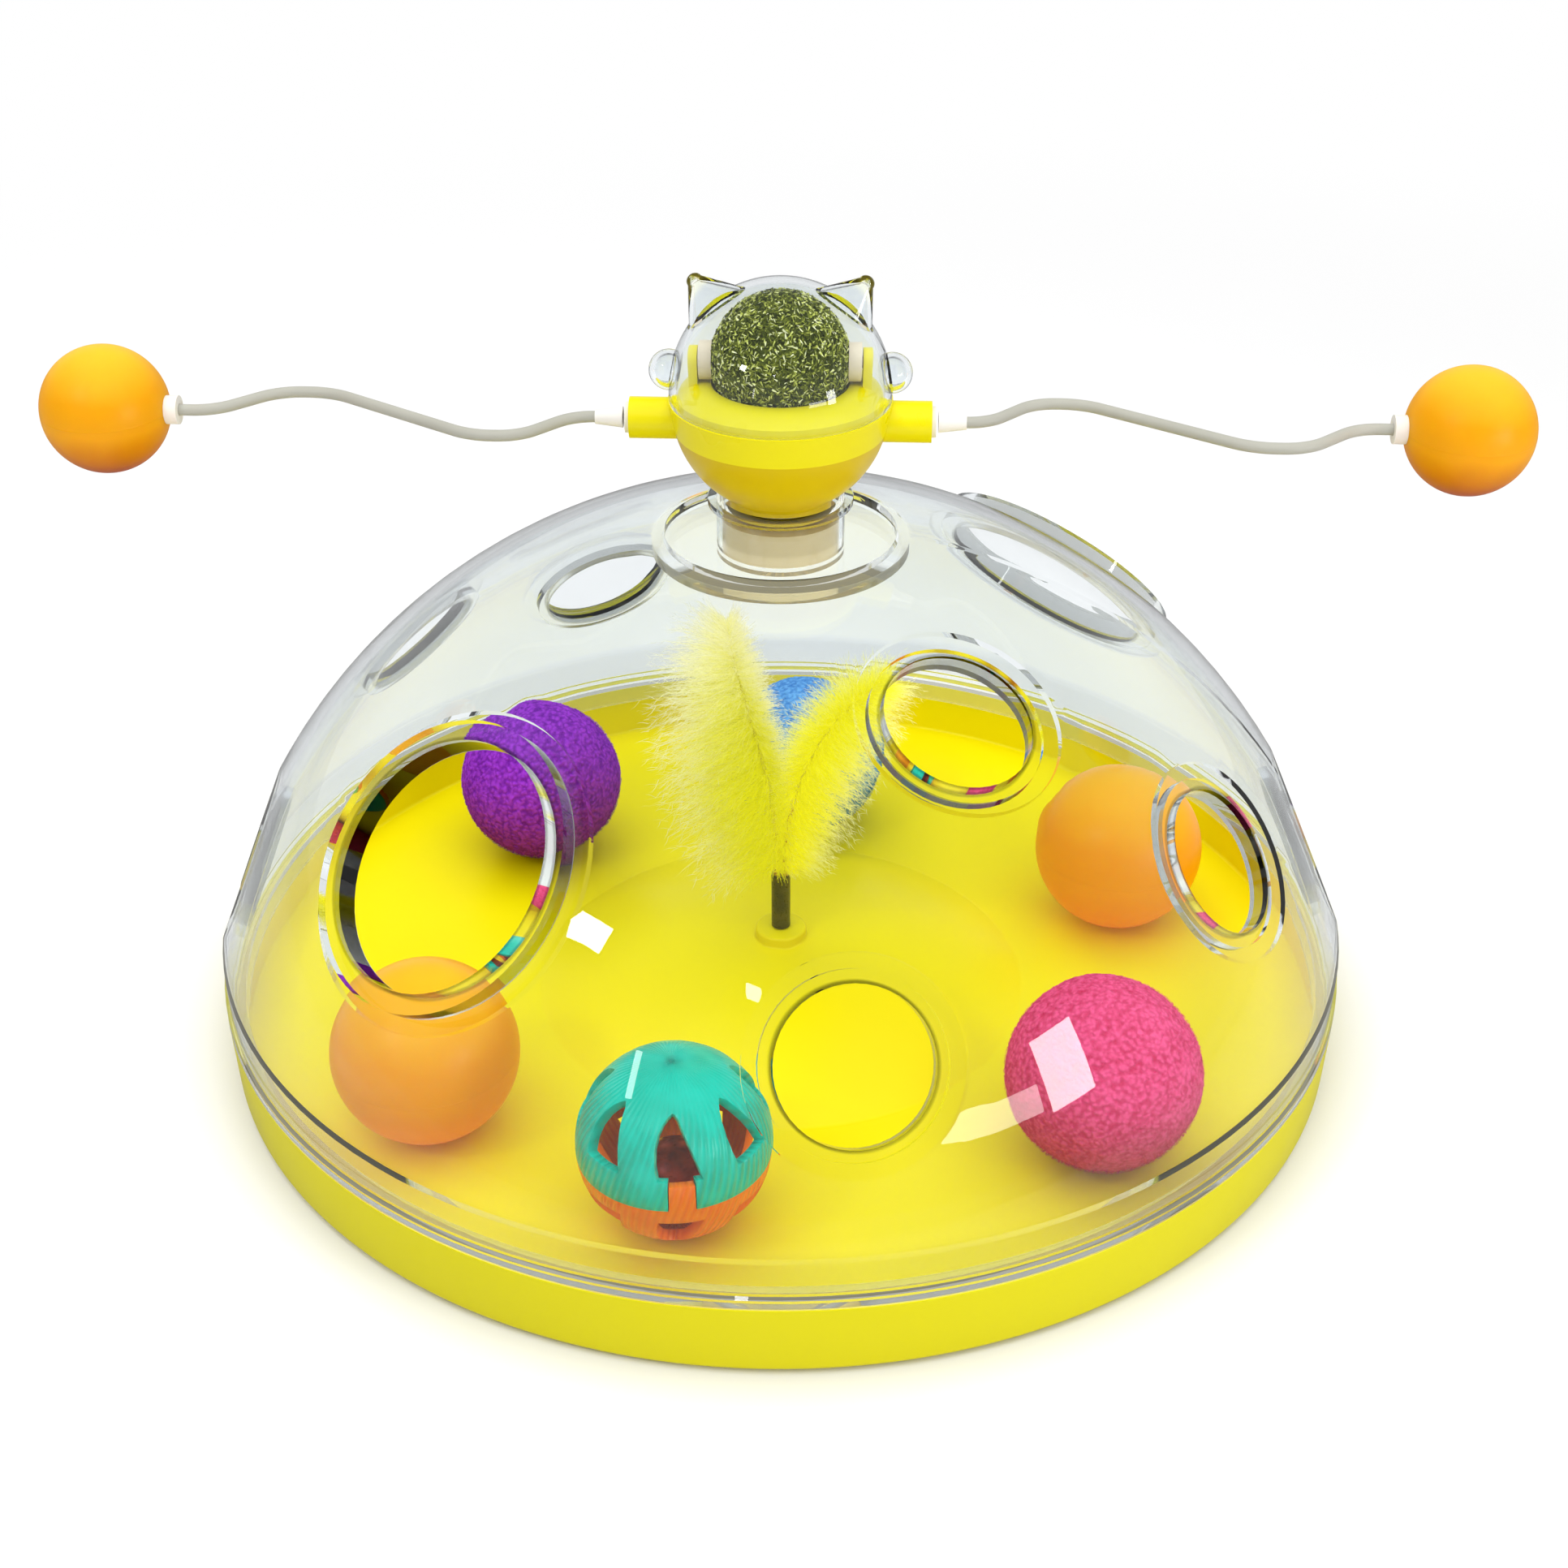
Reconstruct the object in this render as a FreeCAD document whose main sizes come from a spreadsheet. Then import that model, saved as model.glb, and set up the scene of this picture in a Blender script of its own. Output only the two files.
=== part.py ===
import FreeCAD, Part
import math
import os
import re

import Sketcher
from FreeCAD import Vector

# Cat track ball toy: a round tray with six loose balls and a feather wand under a clear dome with paw
# holes, and a spinning head on the dome that carries a catnip ball and two balls on spring wires.
#
# Frame: millimetres and degrees, +Z up, origin on the floor at the middle of the tray, +X along the right
# spring wire. The paw holes' directions are turned from the front (-Y) towards +X, and lifted from level.

SIZES = [
    # Tray
    ("tray_radius", 128.0, "outside of the tray's rim and of the dome's flange"),
    ("tray_draft", 0.8, "how much narrower the tray is at its foot"),
    ("tray_rim", 17.4, "top of the rim above the floor"),
    ("tray_wall", 3.0, "thickness of the upright wall at the rim"),
    ("tray_base", 1.9, "thickness of the ball track"),
    ("tray_corner", 1.5, "rounding of the tray's lower edge"),
    ("mound_radius", 57.0, "edge of the domed middle"),
    ("mound_rise", 12.0, "height of the domed middle over the ball track"),
    ("mound_wall", 2.0, "thickness of the domed middle"),
    ("boss_radius", 6.0, "button on the mound that carries the wand"),
    ("boss_rise", 2.5, "height of the button over the mound"),
    ("stub_radius", 1.1, "pin on the button"),
    ("stub_rise", 3.6, "height of the pin over the button"),
    # Feet
    ("foot_count", 5, "rubber pads under the tray"),
    ("foot_radius", 7.0, "radius of a pad"),
    ("foot_depth", 1.6, "thickness of a pad"),
    ("foot_pocket", 0.8, "depth of a pad's pocket in the tray"),
    ("foot_inset", 28.0, "middle of a pad from the tray's rim"),
    ("foot_gap", 0.1, "clearance around a pad in its pocket"),
    # Feather wand
    ("wand_gap", 0.4, "space under the sleeve that lets the wand sway"),
    ("stub_gap", 0.6, "space around the pin inside the sleeve"),
    ("sleeve_radius", 2.2, "outside of the wand's sleeve"),
    ("sleeve_length", 13.9, "length of the wand's sleeve"),
    ("quill_radius", 0.9, "radius of a feather's quill"),
    ("quill_spread", 1.1, "distance of a quill from the wand's axis"),
    ("quill_gap", 0.8, "space between the sleeve and a quill's foot"),
    ("left_lean", 14.5, "lean of the left feather from upright"),
    ("left_length", 71.0, "length of the left feather"),
    ("left_bare", 4.0, "bare length of the left quill"),
    ("left_fluff", 13.5, "radius of the left plume"),
    ("left_widest", 34.0, "start of that radius from the quill's foot"),
    ("right_lean", 29.0, "lean of the right feather from upright"),
    ("right_length", 65.4, "length of the right feather"),
    ("right_bare", 6.0, "bare length of the right quill"),
    ("right_fluff", 9.5, "radius of the right plume"),
    ("right_widest", 32.0, "start of that radius from the quill's foot"),
    # Balls on the track
    ("ball_gap", 0.3, "space between a ball and the track"),
    ("plastic_radius", 20.0, "plastic ball"),
    ("plastic_wall", 1.4, "wall of a plastic ball"),
    ("plastic_front_turn", -51.46, "place of the front plastic ball"),
    ("plastic_front_out", 2.6, "place of the front plastic ball outside the track's middle"),
    ("plastic_side_turn", 109.73, "place of the side plastic ball"),
    ("plastic_side_out", -4.95, "place of the side plastic ball outside the track's middle"),
    ("pink_radius", 21.0, "pink felt ball"),
    ("pink_turn", 48.78, "place of the pink felt ball"),
    ("pink_out", 2.3, "place of the pink felt ball outside the track's middle"),
    ("purple_radius", 20.5, "purple felt ball"),
    ("purple_turn", -130.21, "place of the purple felt ball"),
    ("purple_out", -8.0, "place of the purple felt ball outside the track's middle"),
    ("blue_radius", 20.5, "blue felt ball"),
    ("blue_turn", 177.43, "place of the blue felt ball"),
    ("blue_out", -21.75, "place of the blue felt ball outside the track's middle"),
    # Bell ball
    ("cage_radius", 20.0, "outside of the bell's cage"),
    ("cage_wall", 2.4, "wall of the bell's cage"),
    ("cage_turn", -11.85, "place of the bell's cage"),
    ("cage_out", -3.85, "place of the bell's cage outside the track's middle"),
    ("cage_spin", 9.5, "turn of the cage's latch from the front"),
    ("cage_seam", 1.5, "seam below the cage's middle"),
    ("cage_lip_rise", 2.6, "height of the lower half's locating lip over the seam"),
    ("cage_lip_wall", 1.0, "thickness of that lip"),
    ("window_count", 7, "windows around each half"),
    ("window_sill", 5.8, "lower edge of a window over the middle"),
    ("window_apex", 15.8, "upper corner of a window over the middle"),
    ("window_left", 4.0, "left corner of a window from its middle"),
    ("window_right", 3.8, "right corner of a window from its middle"),
    ("window_tip", 1.3, "upper corner of a window, left of its middle"),
    ("window_bulge", 11.0, "radius of a window's left edge"),
    ("latch_half", 2.7, "half the width of the latch"),
    ("latch_rise", 4.4, "top of the latch over the middle"),
    ("latch_gap", 0.15, "clearance beside the latch"),
    ("latch_step", 0.1, "how far the latch lies under the cage's surface"),
    ("bell_radius", 8.0, "jingle bell"),
    ("bell_wall", 0.7, "sheet metal of the bell"),
    ("bell_slot", 1.4, "width of the bell's crossed slots"),
    ("bell_slot_reach", 5.2, "half the length of a slot"),
    ("bell_slot_rise", 5.2, "height of the slots' ends below the bell's middle"),
    ("pellet_radius", 1.9, "pellet inside the bell"),
    # Dome
    ("seat_gap", 0.1, "space between parts that rest on each other and come apart"),
    ("dome_rise", 93.6, "height of the dome's sphere over its upright band"),
    ("dome_wall", 2.4, "wall of the dome"),
    ("band_rise", 7.9, "height of the upright band"),
    ("band_step", 0.6, "step from the flange's edge in to the band"),
    ("flange_rise", 2.4, "height of the flange on the tray's rim"),
    ("flange_chamfer", 0.6, "slope from the flange to the band"),
    ("skirt_gap", 0.3, "clearance between the skirt and the tray's wall"),
    ("skirt_wall", 1.8, "thickness of the skirt"),
    ("skirt_drop", 4.0, "reach of the skirt into the tray"),
    ("recess_radius", 24.8, "sunk top of the dome"),
    ("recess_depth", 5.2, "floor of the sunk top below the dome's top"),
    ("cup_radius", 12.5, "inside of the bearing cup"),
    ("cup_wall", 1.1, "wall of the bearing cup"),
    ("cup_drop", 1.8, "floor of the bearing cup below the sunk top's floor"),
    ("cup_base", 1.6, "thickness of the cup's floor"),
    ("cup_depth", 12.7, "depth of the bearing cup"),
    ("lip_reach", 1.8, "reach of the cup's lip past its wall"),
    ("lip_rise", 1.5, "height of the cup's lip"),
    # Paw holes
    ("large_bore", 26.0, "radius of a large hole"),
    ("large_flat", 7.5, "width of the flat around a large hole"),
    ("large_collar", 4.2, "wall of the raised collar of a large hole"),
    ("large_collar_rise", 3.8, "height of that collar over the flat"),
    ("small_bore", 15.5, "radius of a small hole"),
    ("small_flat", 6.0, "width of the flat around a small hole"),
    ("small_collar", 2.7, "wall of the inward collar of a small hole"),
    ("small_collar_drop", 2.2, "depth of that collar under the wall"),
    ("land_margin", 3.0, "how far the cutter of a flat passes its edge"),
    ("front_left_turn", -41.58, "large hole"),
    ("front_left_lift", 43.3, "large hole"),
    ("rear_right_turn", 137.92, "large hole"),
    ("rear_right_lift", 42.5, "large hole"),
    ("front_turn", 9.72, "small hole"),
    ("front_lift", 33.3, "small hole"),
    ("front_right_turn", 62.72, "small hole"),
    ("front_right_lift", 37.7, "small hole"),
    ("upper_turn", 35.42, "small hole"),
    ("upper_lift", 60.7, "small hole"),
    ("rear_turn", -151.58, "small hole"),
    ("rear_lift", 33.5, "small hole"),
    ("rear_left_turn", -117.08, "small hole"),
    ("rear_left_lift", 38.0, "small hole"),
    ("left_turn", -86.58, "small hole"),
    ("left_lift", 22.0, "small hole"),
    ("right_turn", 93.42, "small hole"),
    ("right_lift", 23.5, "small hole"),
    # Bearing of the windmill
    ("fit_gap", 0.05, "radial clearance of a running or plugged fit"),
    ("bush_height", 8.6, "height of the bush"),
    ("spindle_radius", 3.4, "spindle of the hub"),
    ("spindle_room", 0.3, "clearance of the spindle in the cup's floor"),
    ("shoulder_radius", 6.0, "shoulder of the hub on the bush"),
    ("shoulder_rise", 1.6, "height of that shoulder"),
    ("end_play", 0.15, "play between the washer and the cup"),
    ("washer_radius", 5.0, "washer under the cup"),
    ("washer_depth", 0.8, "thickness of the washer"),
    ("screw_head_radius", 2.9, "head of the pivot screw"),
    ("screw_head_depth", 2.3, "thickness of the head"),
    ("screw_radius", 1.3, "shank of the pivot screw"),
    ("screw_length", 6.5, "shank of the pivot screw below its head"),
    ("screw_slot", 0.8, "width of the cross in the head"),
    ("screw_slot_depth", 1.2, "depth of the cross in the head"),
    # Hub
    ("neck_gap", 1.8, "space between the hub's neck and the bearing cup"),
    ("neck_rise", 2.4, "height of the neck"),
    ("bowl_foot_radius", 12.2, "lower edge of the bowl"),
    ("bowl_foot_rise", 1.3, "height of that edge over the neck"),
    ("bowl_rise", 13.8, "height of the bowl"),
    ("bowl_wall", 2.0, "wall of the bowl"),
    ("bowl_well_rise", 1.4, "height of that floor over the bowl's lower edge"),
    ("rim_margin", 0.2, "widest edge of the deck past the clear cover"),
    ("rim_rise", 6.5, "height of that edge over the seam between bowl and deck"),
    ("rim_flare", 1.2, "how much wider that edge is than the seam"),
    ("ring_gap", 0.6, "clearance of the deck's ring in the bowl"),
    ("ring_drop", 1.2, "reach of the deck's ring into the bowl"),
    ("ring_wall", 1.5, "thickness of that ring"),
    ("spigot_gap", 0.3, "clearance between the clear cover and the step that it sits around"),
    ("spigot_rise", 1.5, "height of that step"),
    ("deck_depth", 3.1, "thickness of the deck under the step"),
    ("deck_crown", 8.0, "curve of the deck's upper side"),
    ("catnip_radius", 14.4, "catnip ball"),
    ("catnip_rise", 7.9, "middle of the catnip ball over the deck's widest edge"),
    ("catnip_gap", 0.5, "space between the catnip ball and its seat"),
    ("catnip_seat_wall", 1.6, "wall of the seat"),
    ("catnip_seat_edge", 3.5, "edge of the seat over the deck's widest edge"),
    ("post_room", 2.4, "space between the catnip ball and an axle post"),
    ("post_depth", 1.8, "thickness of an axle post"),
    ("post_half", 3.0, "half the width of an axle post"),
    ("axle_radius", 1.2, "pin of an axle cap"),
    ("cap_radius", 4.0, "disc of an axle cap"),
    ("cap_gap", 0.3, "space between an axle cap and its post"),
    ("cap_stem_radius", 2.0, "stem of an axle cap inside the catnip ball"),
    ("cap_stem_length", 8.0, "length of that stem"),
    # Spring wires
    ("arm_rise", 1.6, "axis of the wires over the seam"),
    ("socket_radius", 4.3, "outside of a wire socket"),
    ("socket_root", 3.0, "inner end of a wire socket inside the seam"),
    ("socket_length", 9.3, "outer end of a wire socket outside the seam"),
    ("plug_stem_radius", 2.2, "stem of a wire plug"),
    ("plug_stem_length", 8.5, "length of that stem"),
    ("plug_flange_radius", 3.2, "flange of a wire plug"),
    ("plug_flange_depth", 0.9, "thickness of that flange"),
    ("flex_gap", 0.5, "space between a wire plug and its boot"),
    ("boot_root_radius", 2.2, "thick end of a wire boot"),
    ("boot_tip_radius", 1.5, "thin end of a wire boot"),
    ("boot_length", 5.8, "length of a wire boot"),
    ("wire_radius", 1.2, "coated spring wire"),
    ("wire_inset", 0.2, "wire's end inside the boot's face"),
    ("wire_ball_radius", 13.4, "ball on a wire"),
    ("wire_ball_wall", 2.4, "wall of that ball"),
    ("wire_ball_across", 141.5, "middle of that ball from the hub's axis"),
    ("wire_cap_radius", 3.0, "cap where the wire enters the ball"),
    ("wire_cap_length", 3.0, "length of the cap"),
    ("wire_cap_seat", 0.75, "how deep the cap sits in the ball"),
    # Cat cover
    ("cover_room", 7.2, "space between the catnip ball and the clear cover"),
    ("cover_wall", 1.4, "wall of the clear cover"),
    ("cover_skirt", 1.6, "upright part under the cover's half sphere"),
    ("ear_lean", 37.0, "lean of an ear from upright"),
    ("ear_root", 3.0, "foot of an ear inside the cover's surface"),
    ("ear_neck", 5.7, "start of an ear's rounded tip outside the cover's surface"),
    ("ear_root_half", 8.2, "half the width of an ear's foot"),
    ("ear_root_depth", 5.4, "half the depth of an ear's foot"),
    ("ear_tip_half", 1.7, "half the width of an ear's tip"),
    ("ear_tip_depth", 1.5, "half the depth of an ear's tip"),
    ("ear_wall", 0.9, "wall of an ear"),
    ("tab_radius", 4.2, "round tab at the cover's side"),
    ("tab_wall", 1.2, "wall of a tab"),
    ("tab_inset", 0.1, "middle of a tab inside the cover's surface"),
    ("tab_rise", 4.0, "middle of a tab over the cover's middle"),
]

# The spring wire's route from the boot, in the arm's level plane. It swings to the back, then to the front.
WIRE_ROUTE = [(43.0, 0.0), (53.0, 11.0), (63.0, 11.0), (96.0, -11.0), (107.0, -11.0), (118.5, 0.0)]

ALIASES = {name for name, number, meaning in SIZES}
TRAY_FLOOR = "(foot_depth - foot_pocket + tray_base)"
TRAY_UNDER = "(foot_depth - foot_pocket)"
MOUND_TOP = f"({TRAY_FLOOR} + mound_rise)"
MOUND_SPHERE = "((mound_radius^2 + mound_rise^2) / (2 * mound_rise))"
BOSS_TOP = f"({MOUND_TOP} + boss_rise)"
SLEEVE_FOOT = f"({BOSS_TOP} + wand_gap)"
DOME_BASE = "(tray_rim + seat_gap)"
FLANGE_TOP = f"({DOME_BASE} + flange_rise)"
BAND = "(tray_radius - band_step)"
BAND_TOP = f"({FLANGE_TOP} + flange_chamfer + band_rise)"
DOME_SPHERE = f"(({BAND}^2 + dome_rise^2) / (2 * dome_rise))"
DOME_CENTRE = f"({BAND_TOP} + dome_rise - {DOME_SPHERE})"
DOME_CORE = f"({DOME_SPHERE} - dome_wall)"
RECESS = f"({BAND_TOP} + dome_rise - recess_depth)"
CUP = f"({RECESS} - cup_drop)"
CUP_UNDER = f"({CUP} - cup_base)"
CUP_TOP = f"({CUP} + cup_depth)"
WASHER_TOP = f"({CUP_UNDER} - end_play)"
BUSH_TOP = f"({CUP} + bush_height)"
SHOULDER = f"({BUSH_TOP} + seat_gap)"
NECK = f"({SHOULDER} + shoulder_rise)"
BOWL_FOOT = f"({NECK} + neck_rise + bowl_foot_rise)"
CREASE = f"({BOWL_FOOT} + bowl_rise)"
COVER_IN = "(catnip_radius + cover_room)"
COVER_OUT = f"({COVER_IN} + cover_wall)"
RIM_RADIUS = f"({COVER_OUT} + rim_margin)"
CREASE_RADIUS = f"({RIM_RADIUS} - rim_flare)"
SOCKET_END = f"({CREASE_RADIUS} + socket_length)"
POST = "(catnip_radius + post_room)"
BOWL_CENTRE = f"((({CREASE_RADIUS}^2 - bowl_foot_radius^2) / bowl_rise + bowl_rise) / 2)"
BOWL_SPHERE = f"sqrt(bowl_foot_radius^2 + {BOWL_CENTRE}^2)"
BOWL_MOUTH = f"sqrt(({BOWL_SPHERE} - bowl_wall)^2 - (bowl_rise - {BOWL_CENTRE})^2)"
RIM = f"({CREASE} + rim_rise)"
AXLE = f"({RIM} + catnip_rise)"
ARM = f"({CREASE} + arm_rise)"
COVER_FOOT = f"({RIM} + seat_gap)"
COVER_MIDDLE = f"({COVER_FOOT} + cover_skirt)"
TRACK_MIDDLE = "((mound_radius + tray_radius - tray_wall) / 2)"
CAGE_MIDDLE = f"({TRAY_FLOOR} + cage_radius + ball_gap)"
BELL_MIDDLE = f"({CAGE_MIDDLE} - cage_radius + cage_wall + bell_radius + ball_gap)"

doc = FreeCAD.newDocument("CatTrackBallToy")
sheet = doc.addObject("Spreadsheet::Sheet", "Sizes")
for row, (name, number, meaning) in enumerate(SIZES, start=1):
    sheet.set(f"A{row}", name)
    sheet.set(f"B{row}", str(number))
    sheet.set(f"C{row}", meaning)
    sheet.setAlias(f"B{row}", name)
workings = doc.addObject("Spreadsheet::Sheet", "Workings")
doc.recompute()


def bound(expression):
    """The expression with each named size pointed at its cell."""
    return re.sub(r"[a-z]\w*", lambda word: "Sizes." + word[0] if word[0] in ALIASES else word[0], expression)


def value(expression):
    """The expression's number, worked out in a cell of the second sheet."""
    workings.set("A1", "=" + bound(expression))
    workings.recompute()
    result = workings.get("A1")
    return float(getattr(result, "Value", result))


def place(item, *steps):
    """Bind a placement to steps of a shift (x, y, z) and a turn (yaw, pitch, roll), outermost first."""
    parts = []
    for shift, turn in steps:
        vector = "create(<<vector>>; {}; {}; {})".format(*shift)
        rotation = "create(<<rotation>>; {}; {}; {})".format(*turn)
        parts.append(f"create(<<placement>>; {vector}; {rotation})")
    item.setExpression("Placement", bound(" * ".join(parts)))
    return item


def primitive(kind, name, **sizes):
    """A Part primitive whose sizes are bound to the sheet."""
    item = doc.addObject("Part::" + kind, name)
    for size, expression in sizes.items():
        item.setExpression(size, bound(expression))
    return item


def joined(name, items):
    """The union of some objects."""
    union = doc.addObject("Part::MultiFuse", name)
    union.Shapes = items
    return union


def without(name, base, tool):
    """An object with another one cut away."""
    cut = doc.addObject("Part::Cut", name)
    cut.Base = base
    cut.Tool = tool
    return cut


def named(item, label):
    """Name an object as a sub-part."""
    item.Label = label
    return item


def arc_between(start, end, bend):
    """An arc of radius |bend| from start to end, counter-clockwise where bend is positive."""
    chord = end - start
    half = chord.Length / 2
    left = Vector(-chord.y, chord.x, 0).normalize() * math.copysign(1, bend)
    centre = (start + end) / 2 + left * math.sqrt(bend * bend - half * half)
    first, last = (start, end) if bend > 0 else (end, start)
    angles = [math.atan2(point.y - centre.y, point.x - centre.x) for point in (first, last)]
    if angles[1] <= angles[0]:
        angles[1] += 2 * math.pi
    return Part.ArcOfCircle(Part.Circle(centre, Vector(0, 0, 1), abs(bend)), *angles)


def outline(body, name, corners, role="XZ_Plane"):
    """A closed sketch through corners (across, up), and (across, up, bend) where an arc leaves the corner."""
    sketch = body.newObject("Sketcher::SketchObject", name)
    plane = next(item for item in body.Origin.OriginFeatures if item.Role == role)
    sketch.AttachmentSupport = [(plane, "")]
    sketch.MapMode = "FlatFace"
    points = [Vector(value(corner[0]), value(corner[1]), 0) for corner in corners]
    ends = []
    for index, corner in enumerate(corners):
        start, end = points[index], points[(index + 1) % len(points)]
        bend = value(corner[2]) if len(corner) == 3 else 0
        sketch.addGeometry(arc_between(start, end, bend) if bend else Part.LineSegment(start, end))
        ends.append((2, 1) if bend < 0 else (1, 2))
        if bend:
            radius = sketch.addConstraint(Sketcher.Constraint("Radius", index, abs(bend)))
            sketch.renameConstraint(radius, f"bend{index}")
            sketch.setExpression(f"Constraints.bend{index}", bound(f"abs({corner[2]})"))
    for index, corner in enumerate(corners):
        following = (index + 1) % len(corners)
        joint = (index, ends[index][1], following, ends[following][0])
        sketch.addConstraint(Sketcher.Constraint("Coincident", *joint))
        at = (index, ends[index][0])
        for kind, axis, expression, number in (("X", -2, corner[0], points[index].x),
                                               ("Y", -1, corner[1], points[index].y)):
            if abs(number) < 1e-9:
                sketch.addConstraint(Sketcher.Constraint("PointOnObject", *at, axis))
            else:
                size = sketch.addConstraint(Sketcher.Constraint("Distance" + kind, -1, 1, *at, number))
                sketch.renameConstraint(size, f"{kind.lower()}{index}")
                sketch.setExpression(f"Constraints.{kind.lower()}{index}", bound(expression))
    return sketch


def turned(name, corners):
    """A body turned about Z from an outline of (radius, height) corners."""
    body = doc.addObject("PartDesign::Body", name)
    sketch = outline(body, name + "_outline", corners)
    revolution = body.newObject("PartDesign::Revolution", name + "_turned")
    revolution.Profile = sketch
    revolution.ReferenceAxis = (sketch, ["V_Axis"])
    revolution.Angle = 360
    doc.recompute()
    return body


def rounded(body, name, radius, rings):
    """Fillet the circular edges of a turned body at the given (radius, height) rings."""
    wanted = [(value(across), value(up)) for across, up in rings]
    edges = []
    for index, edge in enumerate(body.Shape.Edges, start=1):
        if not edge.Degenerated and isinstance(edge.Curve, Part.Circle):
            ring = (edge.Curve.Radius, edge.Curve.Center.z)
            if any(math.dist(ring, other) < 0.01 for other in wanted):
                edges.append(f"Edge{index}")
    base = body.Tip
    fillet = body.newObject("PartDesign::Fillet", name)
    fillet.Base = (base, edges)
    fillet.setExpression("Radius", bound(radius))
    body.Tip = fillet
    doc.recompute()


def pocketed(body, name, corners, depth, count=None):
    """Pocket an outline from the body's middle towards its front, repeated about Z if a count is given."""
    sketch = outline(body, name + "_outline", corners)
    before = body.Shape.Volume
    pocket = body.newObject("PartDesign::Pocket", name)
    pocket.Profile = sketch
    pocket.setExpression("Length", bound(depth))
    pocket.Reversed = True
    body.Tip = pocket
    doc.recompute()
    if body.Shape.Volume >= before:
        raise RuntimeError(f"{name} cuts nothing")
    if count:
        pattern = body.newObject("PartDesign::PolarPattern", name + "_ring")
        pattern.Originals = [pocket]
        pattern.Axis = (sketch, ["V_Axis"])
        pattern.Angle = 360
        pattern.setExpression("Occurrences", bound(count))
        body.Tip = pattern
        doc.recompute()


# Tray

def make_tray():
    """The tray: upright wall, flat track, hollow mound with the wand's button, and pockets for the pads."""
    hollow = f"({MOUND_SPHERE} - mound_wall)"
    sphere_drop = f"({MOUND_TOP} - {MOUND_SPHERE})"
    body = turned("tray_turned", [
        ("0", f"{MOUND_TOP} - mound_wall", f"-{hollow}"),
        (f"sqrt({hollow}^2 - ({TRAY_UNDER} - {sphere_drop})^2)", TRAY_UNDER),
        ("tray_radius - tray_draft", TRAY_UNDER),
        ("tray_radius", "tray_rim"),
        ("tray_radius - tray_wall", "tray_rim"),
        ("tray_radius - tray_wall", TRAY_FLOOR),
        ("mound_radius", TRAY_FLOOR, MOUND_SPHERE),
        ("boss_radius", f"{sphere_drop} + sqrt({MOUND_SPHERE}^2 - boss_radius^2)"),
        ("boss_radius", BOSS_TOP),
        ("stub_radius", BOSS_TOP),
        ("stub_radius", f"{BOSS_TOP} + stub_rise"),
        ("0", f"{BOSS_TOP} + stub_rise"),
    ])
    rounded(body, "tray_lower_edge", "tray_corner", [("tray_radius - tray_draft", TRAY_UNDER)])
    pockets = []
    for index in range(int(value("foot_count"))):
        pocket = primitive("Cylinder", f"foot_pocket_{index}", Radius="foot_radius + foot_gap",
                           Height="foot_depth")
        pockets.append(place(pocket, ((0, 0, 0), (f"{index} * 360 / foot_count", 0, 0)),
                             (("tray_radius - foot_inset", 0, 0), (0, 0, 0))))
    named(without("tray", body, joined("foot_pockets", pockets)), "base_tray")


def make_feet():
    """The rubber pads in their pockets."""
    feet = []
    for index in range(int(value("foot_count"))):
        foot = primitive("Cylinder", f"foot_{index}", Radius="foot_radius", Height="foot_depth")
        feet.append(place(foot, ((0, 0, 0), (f"{index} * 360 / foot_count", 0, 0)),
                          (("tray_radius - foot_inset", 0, 0), (0, 0, 0))))
    group = doc.addObject("Part::Compound", "feet")
    group.Links = feet
    named(group, "rubber_feet")


# Feather wand

def make_wand():
    """The sleeve over the tray's pin and the two plumes on their quills."""
    sleeve = turned("sleeve", [
        ("stub_radius + stub_gap", "0"),
        ("sleeve_radius", "0"),
        ("sleeve_radius", "sleeve_length"),
        ("0", "sleeve_length"),
        ("0", "stub_rise + stub_gap"),
        ("stub_radius + stub_gap", "stub_rise + stub_gap"),
    ])
    named(place(sleeve, ((0, 0, SLEEVE_FOOT), (0, 0, 0))), "wand_sleeve")
    for side, sign in (("left", "-"), ("right", "")):
        fluff = f"{side}_fluff"
        feather = turned(f"{side}_plume", [
            ("0", "0"),
            ("quill_radius", "0"),
            ("quill_radius", f"{side}_bare"),
            (fluff, f"{side}_widest"),
            (fluff, f"{side}_length - {fluff}", fluff),
            ("0", f"{side}_length"),
        ])
        foot = (f"{sign}quill_spread", 0, f"{SLEEVE_FOOT} + sleeve_length + quill_gap")
        named(place(feather, (foot, (0, f"{sign}{side}_lean", 0))), f"feather_{side}")


# Balls on the track

def on_track(ball, middle):
    """The steps to a ball's place: turned from the front towards +X, so far out from the track's middle."""
    return ((0, 0, middle), (f"{ball}_turn", 0, 0)), ((0, f"-({TRACK_MIDDLE} + {ball}_out)", 0), (0, 0, 0))


def make_track_balls():
    """Two hollow plastic balls and three felt balls."""
    for place_name in ("front", "side"):
        outside = primitive("Sphere", f"{place_name}_ball_outside", Radius="plastic_radius")
        inside = primitive("Sphere", f"{place_name}_ball_inside", Radius="plastic_radius - plastic_wall")
        ball = without(f"{place_name}_ball", outside, inside)
        named(place(ball, *on_track(f"plastic_{place_name}", f"{TRAY_FLOOR} + plastic_radius + ball_gap")),
              f"plastic_ball_{place_name}")
    for colour in ("pink", "purple", "blue"):
        ball = primitive("Sphere", f"{colour}_ball", Radius=f"{colour}_radius")
        named(place(ball, *on_track(colour, f"{TRAY_FLOOR} + {colour}_radius + ball_gap")),
              f"felt_ball_{colour}")


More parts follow.
